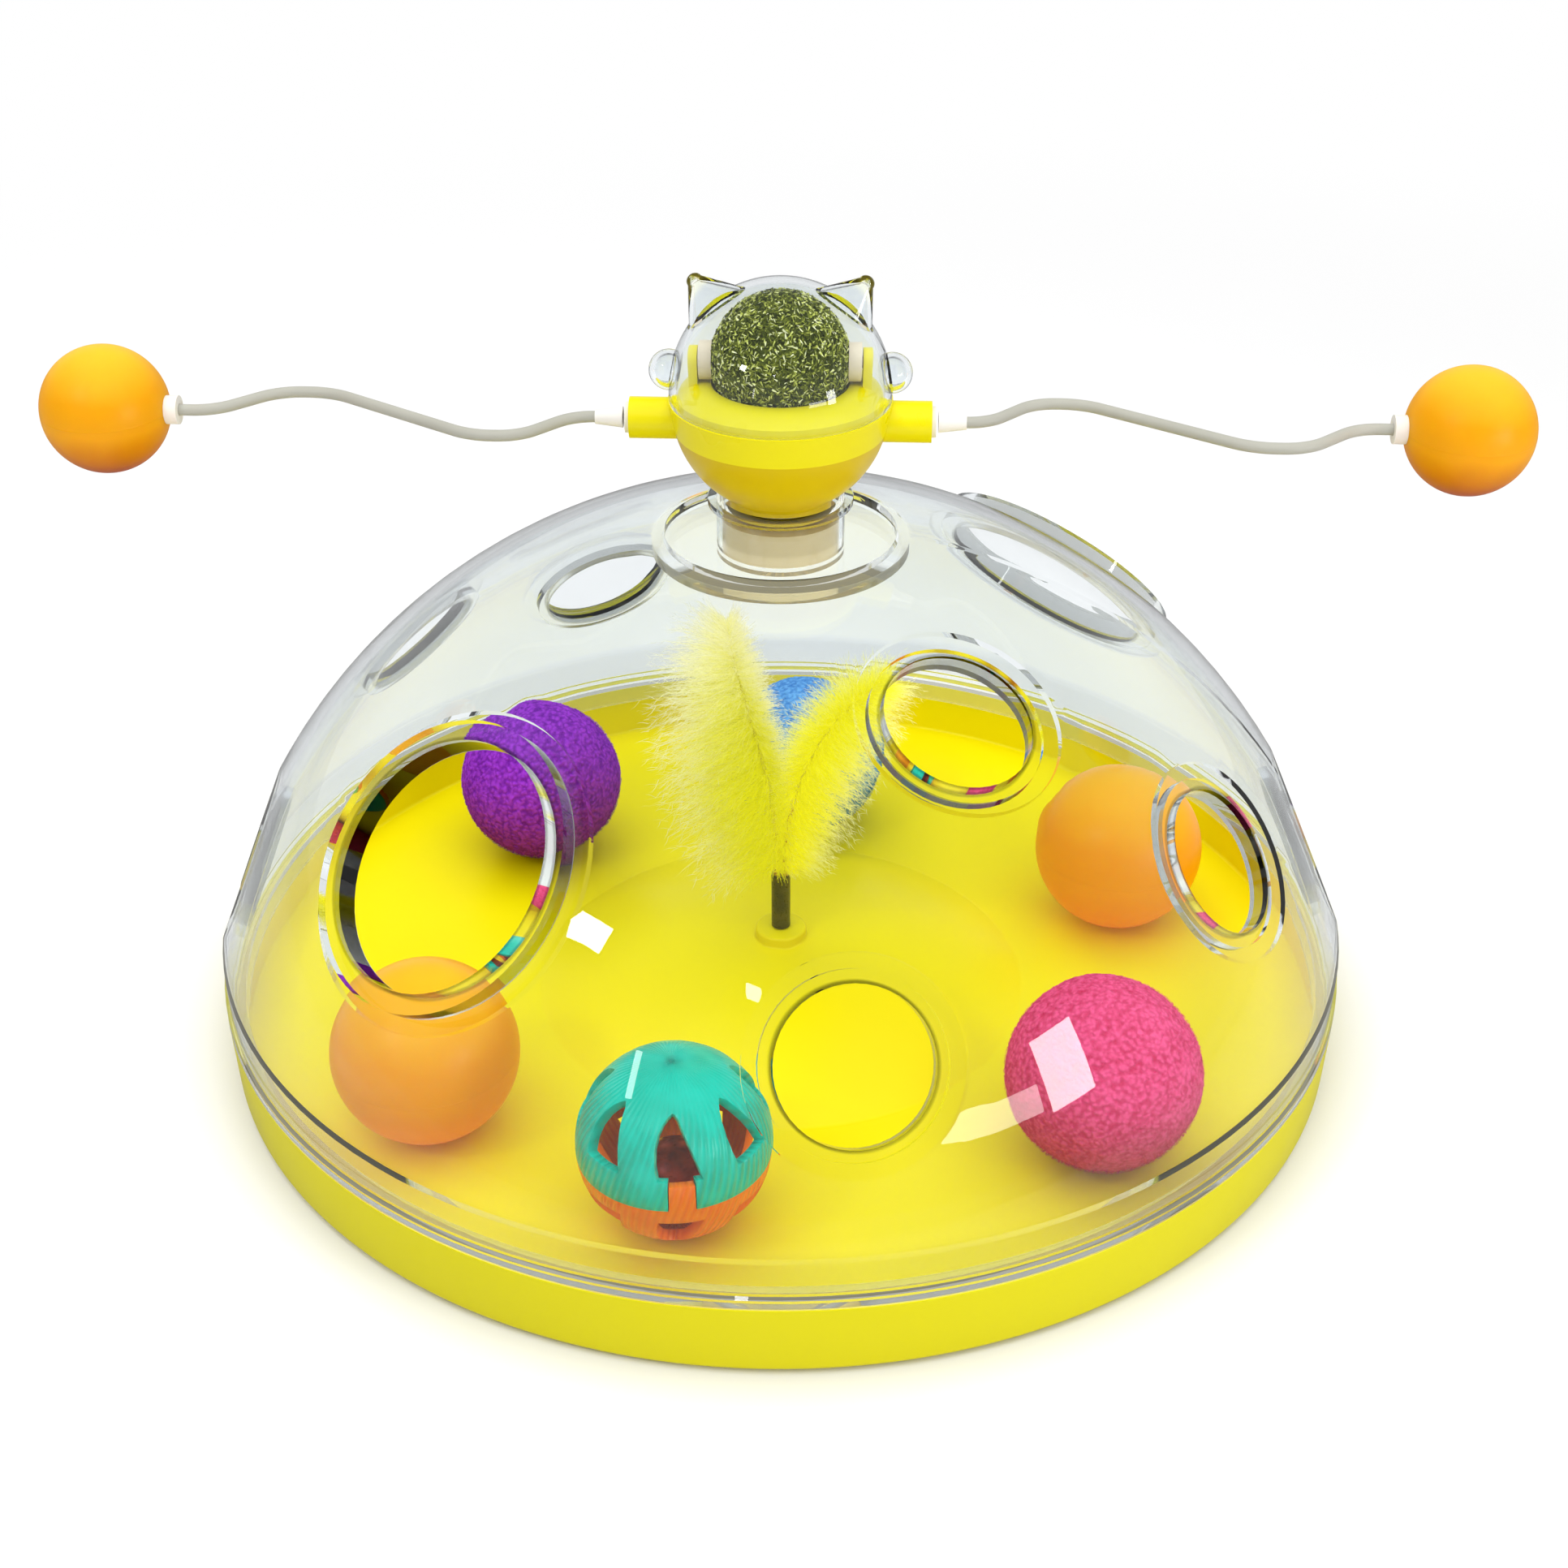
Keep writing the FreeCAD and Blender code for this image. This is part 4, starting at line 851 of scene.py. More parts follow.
@dataclass(frozen=True)
class Relief:
    """A skin's unevenness: the size of its clouds, its depth in millimetres, its level and its layers."""

    name: str
    size: float
    depth: float
    level: float = 0.5
    layers: int = 2
    kind: str = "HARD_NOISE"

    def press(self, piece: Piece) -> None:
        """Displace the piece's skin.

        Args:
            piece: The piece, still at the origin.
        """
        texture = bpy.data.textures.new(self.name, "CLOUDS")
        texture.noise_scale = self.size * MM
        texture.noise_depth = self.layers
        texture.noise_type = self.kind
        modify(piece, "DISPLACE", texture=texture, strength=self.depth * MM, texture_coords="LOCAL",
               mid_level=self.level)


def rough_ball(name: str, node: str, detail: int, tone: float, *reliefs: Relief) -> Piece:
    """Model a ball with an uneven skin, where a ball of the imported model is.

    Args:
        name: The new ball's name.
        node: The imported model's node.
        detail: How often the ball is divided.
        tone: The ball's tone among its loose fibres or flakes.
        *reliefs: The skin's reliefs, in order.

    Returns:
        The ball.
    """
    centre, radius = middle(node)
    deselect()
    bpy.ops.mesh.primitive_ico_sphere_add(subdivisions=detail, radius=radius - 0.5 * MM)
    ball = bpy.context.object
    ball.name = name
    for relief in reliefs:
        relief.press(ball)
    mark(ball, tone=tone)
    ball.location = centre
    bpy.ops.object.transform_apply(location=True, rotation=False, scale=False)
    return ball


def around(count: int, chance: Chance) -> tuple[np.ndarray, np.ndarray]:
    """Place directions evenly over a ball.

    Args:
        count: How many.
        chance: The source of their small shifts.

    Returns:
        Unit vectors outward and unit vectors along the skin.
    """
    steps = np.arange(count) + 0.5
    lift = 1 - 2 * steps / count
    turn = steps * math.pi * (3 - math.sqrt(5))
    ring = np.sqrt(1 - lift**2)
    ways = np.stack([ring * np.cos(turn), ring * np.sin(turn), lift], axis=1)
    ways = unit(ways + chance.normal(scale=0.6 / math.sqrt(count), size=ways.shape))
    return ways[:, None], unit(np.cross(ways, chance.normal(size=ways.shape)))[:, None]


def soften(corners: Table, steps: int = 5) -> list[tuple[float, float]]:
    """Round the corners of a line.

    Args:
        corners: Each corner's two places and its rounding, in millimetres.
        steps: How many short lines a rounding has.

    Returns:
        The points of the rounded line, in millimetres.
    """
    line: list[tuple[float, float]] = []
    for index, (x, y, rounding) in enumerate(corners):
        if not rounding:
            line.append((x, y))
            continue
        here = np.array([x, y])
        arms = [unit(np.array(corners[index + step][:2]) - here) for step in (-1, 1)]
        half = math.acos(float(np.clip(arms[0] @ arms[1], -1, 1))) / 2
        centre = here + unit(arms[0] + arms[1]) * rounding / math.sin(half)
        start, end = (here + arm * rounding / math.tan(half) - centre for arm in arms)
        sweep = math.pi - 2 * half
        for part in np.linspace(0, 1, steps + 1):
            spot = start * math.sin((1 - part) * sweep) + end * math.sin(part * sweep)
            line.append(tuple((centre + spot / math.sin(sweep)).tolist()))
    return line


def arc(start: float, end: float, radius: float, heart: float, steps: int) -> list[Triple]:
    """Follow a ball's outline between two distances from the axis, as corners with no rounding."""
    return [(float(out), heart + math.sqrt(radius**2 - out**2), 0.0)
            for out in np.linspace(start, end, steps + 1)[1:-1]]


def turned(name: str, outline: Sequence[tuple[float, float]], steps: int) -> Piece:
    """Spin an outline round the upright axis.

    Args:
        name: The new piece's name.
        outline: Distances from the axis and heights, in millimetres.
        steps: How many steps the whole turn has.

    Returns:
        The closed piece, its normals outward.
    """
    mesh = bpy.data.meshes.new(name)
    points = [(out * MM, 0.0, height * MM) for out, height in outline]
    mesh.from_pydata(points, [(index, index + 1) for index in range(len(points) - 1)], [])
    piece = add(name, mesh)
    pick(piece)
    bpy.ops.object.mode_set(mode="EDIT")
    bpy.ops.mesh.select_all(action="SELECT")
    bpy.ops.mesh.spin(steps=steps, angle=math.tau, center=(0, 0, 0), axis=(0, 0, 1))
    bpy.ops.mesh.select_all(action="SELECT")
    bpy.ops.mesh.remove_doubles(threshold=0.002 * MM)
    bpy.ops.mesh.normals_make_consistent(inside=False)
    bpy.ops.object.mode_set(mode="OBJECT")
    return piece


@dataclass
class TrackTray:
    """The tray: an upright wall, a flat ball track, a hollow mound with the wand's button, and its pads."""

    radius: float = 128.0
    foot: float = 127.2
    rim: float = 17.4
    wall: float = 3.0
    under: float = 0.8
    track: float = 2.7
    mound: float = 57.0
    mound_top: float = 14.7
    mound_wall: float = 2.0
    button: float = 6.0
    button_top: float = 17.2
    pin: float = 1.1
    pin_top: float = 20.8
    pads: int = 5
    pad_out: float = 100.0
    pocket: float = 7.1
    pocket_top: float = 1.6
    steps: int = 240
    # Painted shade: beyond the line, on the upright outer wall, the yellow is darker, as that wall gets less
    # light.
    finish: MouldedPlastic = MouldedPlastic(
        "tray_yellow", paint(245, 230, 3), paint(240, 225, 2), 0.36, shine=0.2, line=125.8,
        measure=Measure.REACH, beyond=paint(220, 210, 2))
    pad_finish: Rubber = Rubber("foot_rubber", paint(70, 70, 70), paint(52, 52, 52), 0.7)

    def build(self) -> None:
        """Model the tray and dress its pads."""
        tray = turned("tray", soften(self._outline()), self.steps)
        self._pockets(tray)
        pick(tray)
        bpy.ops.object.shade_smooth_by_angle(angle=math.radians(32))
        settle(tray, "tray", "tray_yellow", self.finish, "base_tray")
        dress(self.pad_finish, "rubber_feet")

    def _outline(self) -> list[Triple]:
        """Draw half of the tray's section.

        Returns:
            Its corners, with their roundings, from the hollow under the mound round to the pin's tip.
        """
        rise = self.mound_top - self.track
        ball = (self.mound**2 + rise**2) / (2 * rise)
        heart = self.mound_top - ball
        hollow = ball - self.mound_wall
        hollow_edge = math.sqrt(hollow**2 - (self.under - heart) ** 2)
        button_foot = heart + math.sqrt(ball**2 - self.button**2)
        inner = self.radius - self.wall
        return [
            (0.0, self.mound_top - self.mound_wall, 0.0),
            *arc(0.0, hollow_edge, hollow, heart, 12),
            (hollow_edge, self.under, 0.0), (self.foot, self.under, 1.5),
            (self.radius, self.rim, 0.35), (inner, self.rim, 0.35), (inner, self.track, 0.9),
            (self.mound, self.track, 3.0),
            *arc(self.mound, self.button, ball, heart, 16),
            (self.button, button_foot, 0.5), (self.button, self.button_top, 0.7),
            (self.pin, self.button_top, 0.15), (self.pin, self.pin_top, 0.3), (0.0, self.pin_top, 0.0)]

    def _pockets(self, tray: Piece) -> None:
        """Cut the pads' pockets out of the tray's underside.

        Args:
            tray: The tray.
        """
        deep = 4.0
        for index in range(self.pads):
            turn = index * math.tau / self.pads
            deselect()
            bpy.ops.mesh.primitive_cylinder_add(
                vertices=48, radius=self.pocket * MM, depth=deep * MM,
                location=Vector((self.pad_out * math.cos(turn), self.pad_out * math.sin(turn),
                                 self.pocket_top - deep / 2)) * MM)
            cutter = bpy.context.object
            modify(tray, "BOOLEAN", operation="DIFFERENCE", object=cutter, solver="EXACT")
            bpy.data.objects.remove(cutter)


@dataclass
class HollowBall:
    """A milky orange ball with a moulding seam round its middle."""

    node: str
    # Painted light: top is the lit colour painted on the ball's top, deep the shaded colour painted on its
    # bottom.
    top: Triple = paint(255, 184, 34)
    colour: Triple = paint(252, 156, 4)
    deep: Triple = paint(250, 130, 3)

    def build(self) -> None:
        """Dress the ball, its painted light and shade centred on its own middle."""
        dress(GlowingPlastic(f"{self.node}_glow", self.top, self.colour, self.deep, *middle(self.node)),
              self.node)


@dataclass
class FeltBall:
    """A ball of boiled wool: a lumpy matted ball with short curls standing off it."""

    dye: str
    light: Triple
    dark: Triple
    seed: int
    curl: float = 1.3
    curl_width: float = 0.1
    curl_root: float = 0.8
    curls: int = 9000

    def build(self) -> None:
        """Model the ball and its curls."""
        body, node = f"felt_{self.dye}", f"felt_ball_{self.dye}"
        ball = rough_ball(f"wool_{self.dye}", node, 7, 0.5,
                          Relief(f"{body}_lumps", 16, 1.0, layers=1, kind="SOFT_NOISE"),
                          Relief(f"{body}_matting", 1.15, 0.5, 0.6))
        bpy.ops.object.shade_smooth()
        join(ball, self._curls(f"{body}_curls", *middle(node)))
        settle(ball, body, body, Felt(body, self.light, self.dark), node)

    def _curls(self, name: str, centre: Vector, radius: float) -> Piece:
        """Make the short fibres that curl off the ball.

        Args:
            name: The fibres' name.
            centre: The ball's centre.
            radius: The ball's radius.

        Returns:
            The fibres as one object.
        """
        chance = np.random.default_rng(self.seed)
        ways, sides = around(self.curls, chance)
        length = self.curl * MM * chance.uniform(0.5, 1.0, (self.curls, 1, 1))
        steps = np.linspace(0, 1, 5)[None, :, None]
        bow = np.sin(steps * math.pi * 0.95)
        root = ways * (radius - self.curl_root * MM) + np.array(centre)
        paths = root + ways * bow * 0.5 * length + sides * steps * length * 0.8
        return strands(name, paths, self.curl_width, chance.uniform(0, 1, self.curls), chance)


@dataclass
class CatnipBall:
    """Chopped catnip pressed to a ball, with loose flakes on its skin."""

    node: str = "catnip_ball"
    flakes: int = 7000
    flake: float = 1.5
    seed: int = 41

    def build(self, finish: Chopped) -> None:
        """Model the ball and its flakes.

        Args:
            finish: The chopped leaves' finish.
        """
        ball = rough_ball("pressed_catnip", self.node, 6, 0.15, Relief("catnip_crumbs", 1.1, 0.9))
        join(ball, self._flakes(*middle(self.node)))
        settle(ball, "catnip", "catnip", finish, self.node)

    def _flakes(self, centre: Vector, radius: float) -> Piece:
        """Strew flakes over the ball.

        Args:
            centre: The ball's centre.
            radius: The ball's radius.

        Returns:
            The flakes as one object.
        """
        chance = np.random.default_rng(self.seed)
        ways, sides = around(self.flakes, chance)
        length = self.flake * MM * chance.uniform(0.35, 1.0, (self.flakes, 1, 1))
        steps = np.linspace(-0.5, 0.5, 4)[None, :, None]
        lift = chance.uniform(-0.25, 0.25, (self.flakes, 1, 1))
        root = ways * (radius - 0.18 * MM * chance.uniform(0, 2, (self.flakes, 1, 1)))
        paths = root + sides * steps * length + ways * steps * lift * length + np.array(centre)
        return strands("catnip_flakes", paths, chance.uniform(0.22, 0.5, self.flakes),
                       chance.uniform(0, 1, self.flakes), chance)


@dataclass
class Plume:
    """A downy feather: a bent quill with barbs all round it, each with its own short down.

    The reach's rows hold a place along the quill and the barbs' lengths to the left and the right of it, the
    bend's rows a place and the barbs' lean at their roots and at their tips.
    """

    node: str
    spine: Table
    reach: Table
    bend: Table
    finish: Fluff
    quill: MouldedPlastic
    seed: int
    pale_top: float
    barbs: int = 6400
    barb_width: float = 0.19
    barb_points: int = 7
    downs: int = 5
    down_width: float = 0.1
    quill_radius: float = 0.8
    quill_end: float = 0.92
    round: float = 48.0
    flatten: float = 0.62
    sway: float = 0.16
    droop: float = 0.08

    def build(self) -> None:
        """Model the barbs and the quill."""
        down = self._barbs(np.random.default_rng(self.seed))
        settle(down, "wand", "feather_yellow", self.finish, self.node)
        settle(self._quill(), "wand", "feather_yellow", self.quill)

    def _spine_at(self, share: np.ndarray) -> list[np.ndarray]:
        """Follow the quill.

        Args:
            share: How far along it, from 0 to 1.

        Returns:
            The places, in metres, and the directions.
        """
        corners = np.array(self.spine) * MM
        knots = np.linspace(0, 1, len(corners))
        fine = np.linspace(0, 1, 200)
        line = np.stack([np.polynomial.Polynomial.fit(knots, axis, 3)(fine) for axis in corners.T], axis=1)
        return [np.stack([np.interp(share, fine, axis) for axis in values.T], axis=1)
                for values in (line, unit(np.gradient(line, axis=0)))]

    def _quill(self) -> Piece:
        """Sweep the bare quill, thinner towards its tip.

        Returns:
            The quill's mesh object.
        """
        share = np.linspace(0, self.quill_end, 12)
        places, _ = self._spine_at(share)
        curve = bpy.data.curves.new(f"{self.node}_line", "CURVE")
        curve.dimensions = "3D"
        curve.bevel_depth = self.quill_radius * MM
        curve.bevel_resolution = 3
        curve.use_fill_caps = True
        line = curve.splines.new("POLY")
        line.points.add(len(places) - 1)
        for spot, place, part in zip(line.points, places, share):
            spot.co = (*place, 1)
            spot.radius = 1 - 0.8 * part
        pick(add(f"{self.node}_quill", curve))
        bpy.ops.object.convert(target="MESH")
        bpy.ops.object.shade_smooth()
        return bpy.context.object

    def _barbs(self, chance: Chance) -> Piece:
        """Grow the barbs and their down.

        Args:
            chance: The source of their variety.

        Returns:
            The barbs as one object.
        """
        count = self.barbs
        share = chance.uniform(0.02, 1.0, count) ** 0.9
        root, way = self._spine_at(share)
        angle = chance.integers(0, 2, count) * math.pi
        angle = angle + np.radians(chance.normal(scale=self.round, size=count))
        across = unit(np.cross(way, np.array([0.0, 1.0, 0.0])))
        out = across * np.cos(angle)[:, None] + np.cross(way, across) * np.sin(angle)[:, None]
        left, right = read(self.reach, share)
        towards = (out[:, 0] + 1) / 2
        flat = 1 - self.flatten * np.abs(out[:, 1])
        length = (left * (1 - towards) + right * towards) * MM * chance.uniform(0.7, 1.12, count) * flat
        lean, tips = read(self.bend, share)
        lean = lean + chance.normal(scale=9, size=count)
        tips = tips + chance.normal(scale=12, size=count)
        steps = np.linspace(0, 1, self.barb_points)
        bend = np.radians(lean[:, None] + (tips - lean)[:, None] * steps[None])
        sideways = chance.normal(scale=self.sway, size=(count, 1)) * steps[None]
        heading = (way[:, None] * np.cos(bend)[..., None] + out[:, None] * np.sin(bend)[..., None]
                   + np.cross(way, out)[:, None] * sideways[..., None])
        heading[..., 2] -= self.droop * steps[None]
        hop = length[:, None, None] / (self.barb_points - 1) * unit(heading)
        steps_out = np.concatenate([np.zeros((count, 1, 3)), np.cumsum(hop[:, :-1], axis=1)], axis=1)
        paths = root[:, None] + steps_out
        tones = chance.uniform(0, 1, count)
        pale = self.pale_top * np.clip(share * 1.7 - 0.6, 0, 1)
        ends = np.stack([pale, pale + (1 - pale) * flat * flat], axis=1)
        main = strands(f"{self.node}_plume", paths, self.barb_width, tones, chance, ends)
        join(main, self._down(chance, paths, length, tones, ends))
        return main

    def _down(self, chance: Chance, paths: np.ndarray, length: np.ndarray,
              tones: np.ndarray, ends: np.ndarray) -> Piece:
        """Grow the short down along every barb.

        Args:
            chance: The source of its variety.
            paths: The barbs' points.
            length: The barbs' lengths.
            tones: The barbs' tones.
            ends: Where "along" starts and ends on each barb.

        Returns:
            The down as one object.
        """
        count, points, _ = paths.shape
        spot = (np.arange(self.downs)[None] + chance.uniform(0, 1, (count, self.downs))) / self.downs
        spot = 0.12 + 0.86 * spot
        place = spot * (points - 1)
        low = np.clip(place.astype(int), 0, points - 2)
        part = (place - low)[..., None]
        rows = np.arange(count)[:, None]
        root = paths[rows, low] * (1 - part) + paths[rows, low + 1] * part
        way = unit(paths[rows, low + 1] - paths[rows, low])
        side = unit(np.cross(way, chance.normal(size=way.shape)))
        size = (length[:, None] * chance.uniform(0.1, 0.22, spot.shape) * (1.15 - 0.6 * spot))[..., None]
        tips = [root, root + (way * 0.5 + side * 0.42) * size, root + (way * 1.05 + side * 0.62) * size]
        down = np.stack(tips, axis=2).reshape(-1, 3, 3)
        level = ends[:, :1] + (ends[:, 1:] - ends[:, :1]) * spot
        span = np.stack([level, np.minimum(level + 0.15, 1)], axis=2).reshape(-1, 2)
        tones = np.repeat(tones, self.downs)
        return strands(f"{self.node}_down", down, self.down_width, tones, chance, span)


@dataclass
class BellBall:
    """The rattle: a teal and an orange half with leaf shaped windows, latched at the front, round a bell.

    The ball's grid has windows sectors of columns faces. In each row of the edges stand a latitude and the
    turns, in degrees, of the window's left and right edge there.
    """

    teal: tuple[Triple, Triple] = (paint(6, 208, 180), paint(2, 170, 138))
    orange: tuple[Triple, Triple] = (paint(255, 132, 8), paint(250, 104, 2))
    bell: SheetMetal = SheetMetal("bell_metal", paint(214, 70, 30), paint(140, 36, 14), 0.3, metal=0.4)
    pellet: SheetMetal = SheetMetal("pellet_steel", paint(190, 190, 190), paint(150, 150, 150))
    radius: float = 20.0
    wall: float = 2.2
    bevel: float = 0.32
    turn: float = 9.5
    windows: int = 7
    columns: int = 12
    window_half: int = 4
    latch_half: int = 2
    ring: float = 3.0
    seam: float = 4.3
    sill: float = 15.0
    apex: float = 54.0
    latch_top: float = 12.0
    latch: float = 7.6
    notch: float = 8.2
    close: float = 0.1
    edges: Table = ((9, -15, 14), (15, -14.5, 13), (24, -16.5, 10.5), (33, -17, 7.5), (42, -15.5, 4),
                    (48, -12.5, 1.5), (51, -9.5, 0.2), (54, -5.2, -3.2), (60, -15, 12), (66, -17.14, 17.14))

    def build(self) -> None:
        """Model both halves and dress the bell and its pellet."""
        low, high = (np.array(corner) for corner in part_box("cage_lower"))
        centre = (low + high) / 2
        centre[2] = low[2] + self.radius * MM
        for side, slot, paints in (("upper", "cage_teal", self.teal), ("lower", "cage_orange", self.orange)):
            half = self._half(f"rattle_{side}", side == "upper", centre)
            finish = RibbedPlastic(slot, *paints, tuple(centre), self.turn)
            settle(half, "bell_ball", slot, finish, f"cage_{side}")
        dress(self.bell, "jingle_bell")
        dress(self.pellet, "bell_pellet")

    def _half(self, name: str, upper: bool, centre: np.ndarray) -> Piece:
        """Cut one half out of a ball and give it its wall.

        Args:
            name: The half's name.
            upper: True for the half over the seam.
            centre: The ball's middle, in metres.

        Returns:
            The half, at its place.
        """
        deselect()
        bpy.ops.mesh.primitive_uv_sphere_add(segments=self.windows * self.columns,
                                             ring_count=round(180 / self.ring), radius=1.0)
        shell = bpy.context.object
        shell.name = name
        self._cut(shell, upper)
        self._warp(shell, upper, centre)
        modify(shell, "SOLIDIFY", thickness=self.wall * MM, offset=-1.0, use_even_offset=True)
        modify(shell, "BEVEL", width=self.bevel * MM, segments=2, limit_method="ANGLE",
               angle_limit=math.radians(40))
        pick(shell)
        bpy.ops.object.shade_smooth_by_angle(angle=math.radians(32))
        return shell

    def _where(self, points: Sequence[Vector], upper: bool) -> tuple[np.ndarray, np.ndarray, np.ndarray]:
        """Find the sector, column and height of points on the ball.

        Args:
            points: Points on the ball of radius 1.
            upper: True to count heights upwards, False downwards.

        Returns:
            Each point's sector, its column from that sector's middle and its latitude in degrees.
        """
        x, y, z = unit(np.array(points)).T
        across = np.degrees(np.arctan2(x, -y)) / 360 * self.windows * self.columns
        sector = np.round(across / self.columns)
        lift = np.degrees(np.arcsin(np.clip(z, -1, 1))) * (1 if upper else -1)
        return sector, across - sector * self.columns, lift

    def _cut(self, shell: Piece, upper: bool) -> None:
        """Delete the other half, the windows and the latch's notch.

        Args:
            shell: The whole ball.
            upper: True for the half over the seam.
        """
        sector, column, lift = self._where([face.center for face in shell.data.polygons], upper)
        front = (sector == 0) & (np.abs(column) < self.latch_half)
        window = (np.abs(column) < self.window_half) & (lift > self.sill) & (lift < self.apex)
        if upper:
            gone = (lift < -self.ring) | window | (front & (lift < self.sill))
        else:
            gone = (lift < self.ring) & ~(front & (lift > -self.latch_top)) | window
        pick(shell)
        bpy.ops.object.mode_set(mode="EDIT")
        bpy.ops.mesh.select_mode(type="FACE")
        bpy.ops.mesh.select_all(action="DESELECT")
        bpy.ops.object.mode_set(mode="OBJECT")
        shell.data.polygons.foreach_set("select", gone.tolist())
        bpy.ops.object.mode_set(mode="EDIT")
        bpy.ops.mesh.delete(type="FACE")
        bpy.ops.object.mode_set(mode="OBJECT")

    def _warp(self, shell: Piece, upper: bool, centre: np.ndarray) -> None:
        """Pull the columns to the windows' leaf shape, and set the half at its place.

        Args:
            shell: The cut half.
            upper: True for the half over the seam.
            centre: The ball's middle, in metres.
        """
        sector, column, lift = self._where([vertex.co for vertex in shell.data.vertices], upper)
        left, right = read(self.edges, lift)
        half, glass, tongue = 180 / self.windows, self.window_half, self.latch_half
        away, bar = np.abs(column), self.columns / 2 - glass
        gap = np.sign(column) * (self.notch if upper else self.latch)
        rest = np.where(column > 0, right, left) - gap
        latched = gap * np.where(away <= tongue, away / tongue, 1)
        latched += np.where(away <= tongue, 0, rest * (away - tongue) / (glass - tongue))
        within = np.where((sector == 0) & (lift < self.sill + self.close), latched,
                          left + (right - left) * (column + glass) / (2 * glass))
        turn = np.where(column > glass, right + (half - right) * (column - glass) / bar,
                        np.where(column < -glass, left - (half + left) * (-column - glass) / bar, within))
        rim, side = (-self.seam, 1) if upper else (self.seam, -1)
        at_rim = np.abs(lift - math.copysign(self.ring, rim)) < self.close
        lift = np.where(at_rim, rim, lift) * side
        angle, lift = np.radians(turn + sector * 2 * half + self.turn), np.radians(lift)
        ring = np.cos(lift) * self.radius * MM
        placed = np.stack([ring * np.sin(angle), -ring * np.cos(angle), np.sin(lift) * self.radius * MM])
        shell.data.vertices.foreach_set("co", (placed.T + centre).ravel())
        shell.data.update()


@dataclass
class FeatherWand:
    """The wand: a rubber sleeve on the tray's pin, with a wide and a narrow plume."""

    sleeve: Rubber = Rubber("sleeve_rubber", paint(86, 82, 20), paint(56, 54, 12), 0.3)
    quill: MouldedPlastic = MouldedPlastic("feather_quill", paint(206, 160, 44), paint(180, 132, 34), 0.4,
                                           line=50, beyond=paint(238, 230, 90))
    wide: Fluff = Fluff(
        "feather_down_left", paint(240, 238, 10), paint(240, 238, 100), paint(250, 248, 220))
    narrow: Fluff = Fluff(
        "feather_down_right", paint(248, 245, 10), paint(248, 246, 110), paint(251, 250, 196))

    def build(self) -> None:
        """Dress the sleeve and grow both plumes."""
        dress(self.sleeve, "wand_sleeve")
        Plume("feather_left",
              [(-0.9, 0, 31), (-1.6, 0, 48), (-4.6, 0, 64), (-8.6, 0, 80), (-11.6, 0, 95)],
              [(0, 19, 6), (0.15, 24, 6), (0.4, 28, 7), (0.7, 24, 8), (0.9, 17, 8), (1, 9, 8)],
              [(0, 95, 150), (0.3, 80, 128), (0.6, 68, 106), (0.85, 55, 84), (1, 20, 40)],
              self.wide, self.quill, seed=21, pale_top=0.85).build()
        Plume("feather_right",
              [(0.9, 0, 31), (1.8, 0, 46), (5.4, 0, 60), (12.0, 0, 72), (21.0, 0, 81)],
              [(0, 4, 9), (0.3, 8, 18), (0.6, 10, 18), (0.85, 12, 15), (1, 11, 11)],
              [(0, 80, 132), (0.3, 74, 128), (0.6, 66, 112), (0.85, 50, 84), (1, 18, 34)],
              self.narrow, self.quill, seed=22, pale_top=0.2).build()


@dataclass
class ClearDome:
    """The clear dome that lifts off the tray, with the pale bush that the windmill turns in."""

    # The bores get painted dark outlines round their edges.
    clear: ClearPlastic = ClearPlastic("clear_plastic", bores=(
        Bore(-41.58, 43.3, 26.0), Bore(137.92, 42.5, 26.0), Bore(9.72, 33.3), Bore(62.72, 37.7),
        Bore(35.42, 60.7), Bore(-151.58, 33.5), Bore(-117.08, 38.0), Bore(-86.58, 22.0), Bore(93.42, 23.5)))
    bush: MouldedPlastic = MouldedPlastic("bush_beige", paint(220, 200, 152), paint(208, 186, 134), 0.45)

    def build(self) -> None:
        """Dress the shell and the bush."""
        dress(self.clear, "dome_shell")
        dress(self.bush, "pivot_bush")


